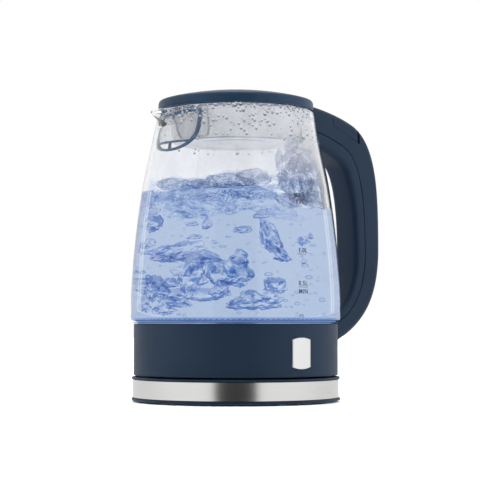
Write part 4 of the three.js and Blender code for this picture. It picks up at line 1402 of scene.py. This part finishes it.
# Painted light: the water's blue tint stands in for the ring's blue light in the clear water; the other water
# and bubble tints below carry the same blue light.
water = see_through("water", (0.690, 0.757, 0.862), (0.60, 0.69, 0.83), body_cover, body_glint)
churned = see_through("churned_water", (0.992, 0.994, 0.998), (0.865, 0.900, 0.950), sheet_cover, sheet_glint)
splashing = see_through("splashing_water", (0.91, 0.93, 0.965), (0.21, 0.31, 0.49), splash_cover, splash_glint)
rolled = see_through("rolling_water", (0.99, 0.993, 0.998), (0.75, 0.82, 0.92), rolled_cover, rolled_glint)
bubble_skin = see_through("bubble_skin", (0.985, 0.99, 0.998), (0.29, 0.45, 0.74), bubble_cover, bubble_glint)
bubble_fine = see_through("bubble_fine", (0.95, 0.97, 0.99), (0.30, 0.45, 0.72), small_bubble_cover)
water_top = see_through("water_surface", (0.995, 0.996, 0.998), (0.90, 0.925, 0.965), splash_cover)

pool = finish_mesh("water_body", water_body(), "jug", water, sharp=80)
pool.data.materials.append(water_top)
SHEETS = [(158.5, 5.5, 30, 1.3), (166.0, 6.5, 36, 5.1), (172.5, 8.0, 44, 8.6)]  # height, swell, scale, seed
for index, sheet in enumerate(SHEETS, 1):
    finish_mesh(f"churned_sheet_{index}", churned_sheet(*sheet), "jug", churned, sharp=80)

SPLASH = [  # right, near, height, half sizes
    (50, 33, 174, 13, 11, 17), (60, 25, 170, 10, 11, 17), (43, 37, 189, 6.5, 6, 8), (33, 43, 187, 2.6, 3, 8),
    (36, 42, 175, 3.5, 5, 5), (54, 30, 187, 8, 8, 10), (43, 37, 200, 5, 5, 7),
]
WAVES = [
    (-6, 46, 170, 23, 12, 6), (14, 44, 174, 14, 9, 6), (-46, 34, 169, 18, 11, 4.5), (-24, 46, 168, 14, 9, 4),
    (40, 42, 156, 14, 10, 6), (58, 28, 157, 14, 12, 7),
]
SPRAY_DROPS, ROLLS, HIDDEN_BUBBLES, FINE_BUBBLES, DROPLETS = 46, 64, 18, 190, 950
splashes = []
for shapes, seed_step, first_seed, rough in ((SPLASH, 2.3, 1, 0.50), (WAVES, 4.1, 30, 0.30)):
    for i, (right, near, z, *half_sizes) in enumerate(shapes):
        place = front_place(right, near, z)
        splashes.append(blob(place, half_sizes, seed_step * i + first_seed, rough, levels=5))
rng = random.Random(88)
for i in range(SPRAY_DROPS):
    spread = rng.uniform(-0.6, 0.6)
    size = rng.uniform(0.7, 2.2)
    place = front_place(46 + 22 * spread, 38 - 16 * spread, rng.uniform(172, 208 - 22 * abs(spread)))
    splashes.append(blob(place, (size, size, size * rng.uniform(0.9, 1.6)), 9.1 * i, 0.2, levels=2))
rolling = []
for i in range(ROLLS):  # water rolling over just under the surface
    right, z = rng.uniform(-66, 46), rng.uniform(141, 167)
    if z > surface_height(*(RIGHTWARD * right).xy) - 4:
        continue
    a, c = rng.uniform(5, 14), rng.uniform(1.6, 4.5)
    place = front_place(right, behind_wall(right, z, a * 0.6 + 2) - rng.uniform(0, 9), z)
    rolling.append(blob(place, (a, a * 0.6, c), 1.7 * i + 40, 0.75, 0.2, 5, rng.uniform(-1, 1)))
water_pieces("rolling_water", rolling, rolled)
water_pieces("splashes", splashes, splashing)

BIG_BUBBLES = [  # right, height, half width, half height, lean
    (-63, 118, 12, 8, 0.4), (-46, 113, 20, 10, 0.9), (-33, 94, 12, 19, 0.2), (-4, 96, 17, 15, -0.1),
    (3, 109, 7, 8, 0.0), (29, 88, 9, 9, -0.2), (11, 76, 22, 9, 0.2), (26, 122, 8, 17, -0.75),
    (34, 111, 6, 7, -0.3), (5, 131, 7, 4, 0.1), (-57, 85, 13, 14, -0.4), (-66, 74, 8, 7, 0.1),
    (-52, 71, 11, 6, 0.1), (-32, 136, 5, 2.5, 0.4), (-21, 135, 4, 6, 0.3), (-59, 136, 11, 9, 0.1),
    (49, 123, 4, 4.5, 0.2), (55, 127, 2.6, 3, 0.1), (50, 108, 2.6, 2.6, 0.2), (-16, 122, 3, 2.2, 0.1),
    (18, 142, 6, 3, 0.2), (-12, 84, 8, 7, 0.3), (-30, 126, 6, 2.5, 0.3),
]
rng = random.Random(1407)
bubbles = []
for i, (right, z, a, c, lean) in enumerate(BIG_BUBBLES):
    place = front_place(right, behind_wall(right, z, a * 0.65 + 2), z)
    bubbles.append(blob(place, (a, a * 0.7, c), 3.1 * i, 0.40, 0.62, 5, lean))
for i in range(HIDDEN_BUBBLES):  # at the back and the left only
    angle, reach = rng.uniform(0, 2 * math.pi), rng.uniform(30, 60)
    side = Vector((math.cos(angle), math.sin(angle), 0))
    size, z = rng.uniform(5, 10), rng.uniform(74, 136)
    if side.dot(toward_camera) > 0.2 or side.dot(RIGHTWARD) > 0.3:
        continue
    half_sizes = (size, size * rng.uniform(0.8, 1), size * rng.uniform(0.6, 1))
    place = Vector((reach * side.x, reach * side.y, z))
    bubbles.append(blob(place, half_sizes, 50 + i, 0.2, 0.6, 4, rng.uniform(-0.3, 0.3)))
water_pieces("large_bubbles", bubbles, bubble_skin)

fine = []
for i in range(FINE_BUBBLES):
    angle, reach = rng.uniform(0, 2 * math.pi), 72 * math.sqrt(rng.uniform(0.1, 1))
    z = rng.uniform(64, 150)
    size = rng.uniform(0.6, 1.1) if i % 4 else rng.uniform(1.2, 2.4)
    reach = min(reach, water_radius(z) - size - 1)
    place = Vector((reach * math.cos(angle), reach * math.sin(angle), z))
    fine.append(blob(place, (size * 1.15, size * 1.15, size * 0.8), i, 0.12, 0.3, 2))
water_pieces("small_bubbles", fine, bubble_fine)

# ---------------- steam, droplets and the lit ring
MIST_LOW = 168


def droplets():
    """Condensation under the lid, on the inside of the glass."""
    drops = []
    for _ in range(DROPLETS):
        angle = rng.uniform(0, 2 * math.pi)
        z = 228.8 - 27 * rng.random() ** 2.2
        if abs(math.atan2(math.sin(angle), -math.cos(angle))) < 0.38 and z < 214:
            continue
        size = rng.choice((0.4, 0.55, 0.75, 1.0, 1.35)) * rng.uniform(0.8, 1.2)
        radius = glass_radius(z) - GLASS_WALL - 0.15
        centre = Vector((radius * math.cos(angle), radius * math.sin(angle), z))
        half_sizes = (size * 0.45, size * 0.9, size * rng.uniform(1.0, 1.6))
        drop = blob(Vector((0, 0, 0)), half_sizes, rng.random() * 9, 0.12, levels=2)
        drops.append(placed(drop, centre, angle))
    return join_meshes("droplets", drops)


def mist_glint(tree):
    """Painted light: the steam's pale glow, standing in for studio light scattered in it; stronger towards the
    rim, in slow drifts, and none on the spout's side.
    """
    height = ramp(tree, rise(tree, MIST_LOW, 226), [(0.0, grey(0)), (0.45, grey(0.22)), (1.0, grey(0.34))])
    drifts = calculate(tree, "MULTIPLY", height, calculate(tree, "ADD", spots(tree, 60, 0.3, 0.7), 0.7))
    return calculate(tree, "MULTIPLY", drifts, rise(tree, -62, -36, "X"), clamp=True)


def mist_skin():
    """Film of steam on the glass, left open where the filter presses against the wall."""
    heights = [MIST_LOW + 60 * i / 20 for i in range(21)]
    rows = []
    for k in range(121):
        angle = math.pi + 0.47 + (2 * math.pi - 0.94) * k / 120
        loop = [(glass_radius(z) - GLASS_WALL - 0.2, z) for z in heights]
        loop += [(glass_radius(z) - GLASS_WALL - 0.45, z) for z in reversed(heights)]
        rows.append([(r * math.cos(angle), r * math.sin(angle), z) for r, z in loop])
    return loft("mist", rows)


# Painted highlight: pale light on the upper halves of the droplets.
def droplet_glint(tree):
    return scaled(tree, calculate(tree, "SUBTRACT", 1.0, underside(tree, 0.30, 0.50)), 0.75)


droplet_skin = see_through("droplet_skin", (0.95, 0.955, 0.965), (0.22, 0.22, 0.24), droplet_cover,
                           droplet_glint)
finish_mesh("condensation", droplets(), "jug", droplet_skin, sharp=80)
mist = see_through("steam_mist", (0.99, 0.99, 0.995), (0.955, 0.957, 0.97), mist_streaks, mist_glint,
                   (0.74, 0.745, 0.775))
finish_mesh("steam_mist", mist_skin(), "jug", mist, sharp=80)


def glow_material(name, low, high, strength):
    material, tree, bsdf = shader(name, low, 0.35)
    tone = ramp(tree, noise_field(tree, 45, 3), [(0.3, low), (0.7, high)])
    tree.links.new(tone, bsdf.inputs["Base Color"])
    tree.links.new(tone, bsdf.inputs["Emission Color"])
    bsdf.inputs["Emission Strength"].default_value = strength
    return material


glow = glow_material("light_guide", (0.10, 0.18, 0.36), (0.16, 0.26, 0.45), 0.68)
lamp = glow_material("led_lens", (0.30, 0.55, 0.95), (0.55, 0.75, 1.0), 1.2)
finish_mesh("light_guide_ring", ring_mesh("guide", 74.9, 77.3, 52.3, 55.2, 0.4), "jug", glow,
            ["light_ring"])
GLOW_RADIUS = glass_radius(64) - GLASS_WALL - 0.4
lit_band = ring_mesh("glow", GLOW_RADIUS - 0.6, GLOW_RADIUS, GLOW_LOW, GLOW_TOP, 0.15)
finish_mesh("glow_band", lit_band, "jug", glow)


SLANT = math.radians(24)


def crimp_teeth():
    """Fine slanted crimps where the steel plate is rolled against the glass."""
    teeth = []
    for x, y in on_circle(117, 1, 0):
        tooth = placed(box_mesh("tooth", (-0.25, -1.2, -0.5), (0.25, 1.2, 0.5), 0.15), (0, 0, 0), SLANT, "X")
        teeth.append(placed(tooth, (GLOW_RADIUS * x, GLOW_RADIUS * y, 64.6), math.atan2(y, x)))
    return join_meshes("teeth", teeth)


tooth_brown = brushed("crimp_bronze", (0.30, 0.22, 0.16), (1, 1, 8), (0.35, 0.5), 0.2)
finish_mesh("plate_crimps", crimp_teeth(), "jug", tooth_brown)
rim_outline = [(73.6, 61.0), (75.9, 61.0), (75.9, 62.7), (75.5, 62.7), (75.5, 61.3), (73.6, 61.3)]
finish_mesh("plate_rim", lathe("plate_rim", rim_outline), "jug", plate_steel)

# ---------------- finishes for the CAD nodes still shown
NODE_FINISH = {
    "base_cord_gland": rubber_black, "base_live_contact": brass, "base_neutral_contact": brass,
    "base_earth_contact": brass, "earth_ring": brass, "neutral_ring": brass, "live_pin": brass,
    "element_terminal_1": brass, "element_terminal_2": brass, "control_unit": black_plastic,
    "lid_latch": black_plastic, "led_board": circuit_board, "led_1": lamp, "led_2": lamp, "led_3": lamp,
    "heat_spreader": aluminium, "heating_element": pressed_steel, "steam_tube": silicone,
    "handle_gasket": silicone, "steam_inlet_plate": navy_inside,
}
for name, item in frame["nodes"].items():
    if item.hide_render:
        continue
    item.data.materials.clear()
    item.data.materials.append(NODE_FINISH.get(name, fastener_steel))

# ---------------- light paths for stacked clear surfaces
cycles = bpy.context.scene.cycles
cycles.max_bounces = 20
cycles.transmission_bounces = 16
cycles.transparent_max_bounces = 40
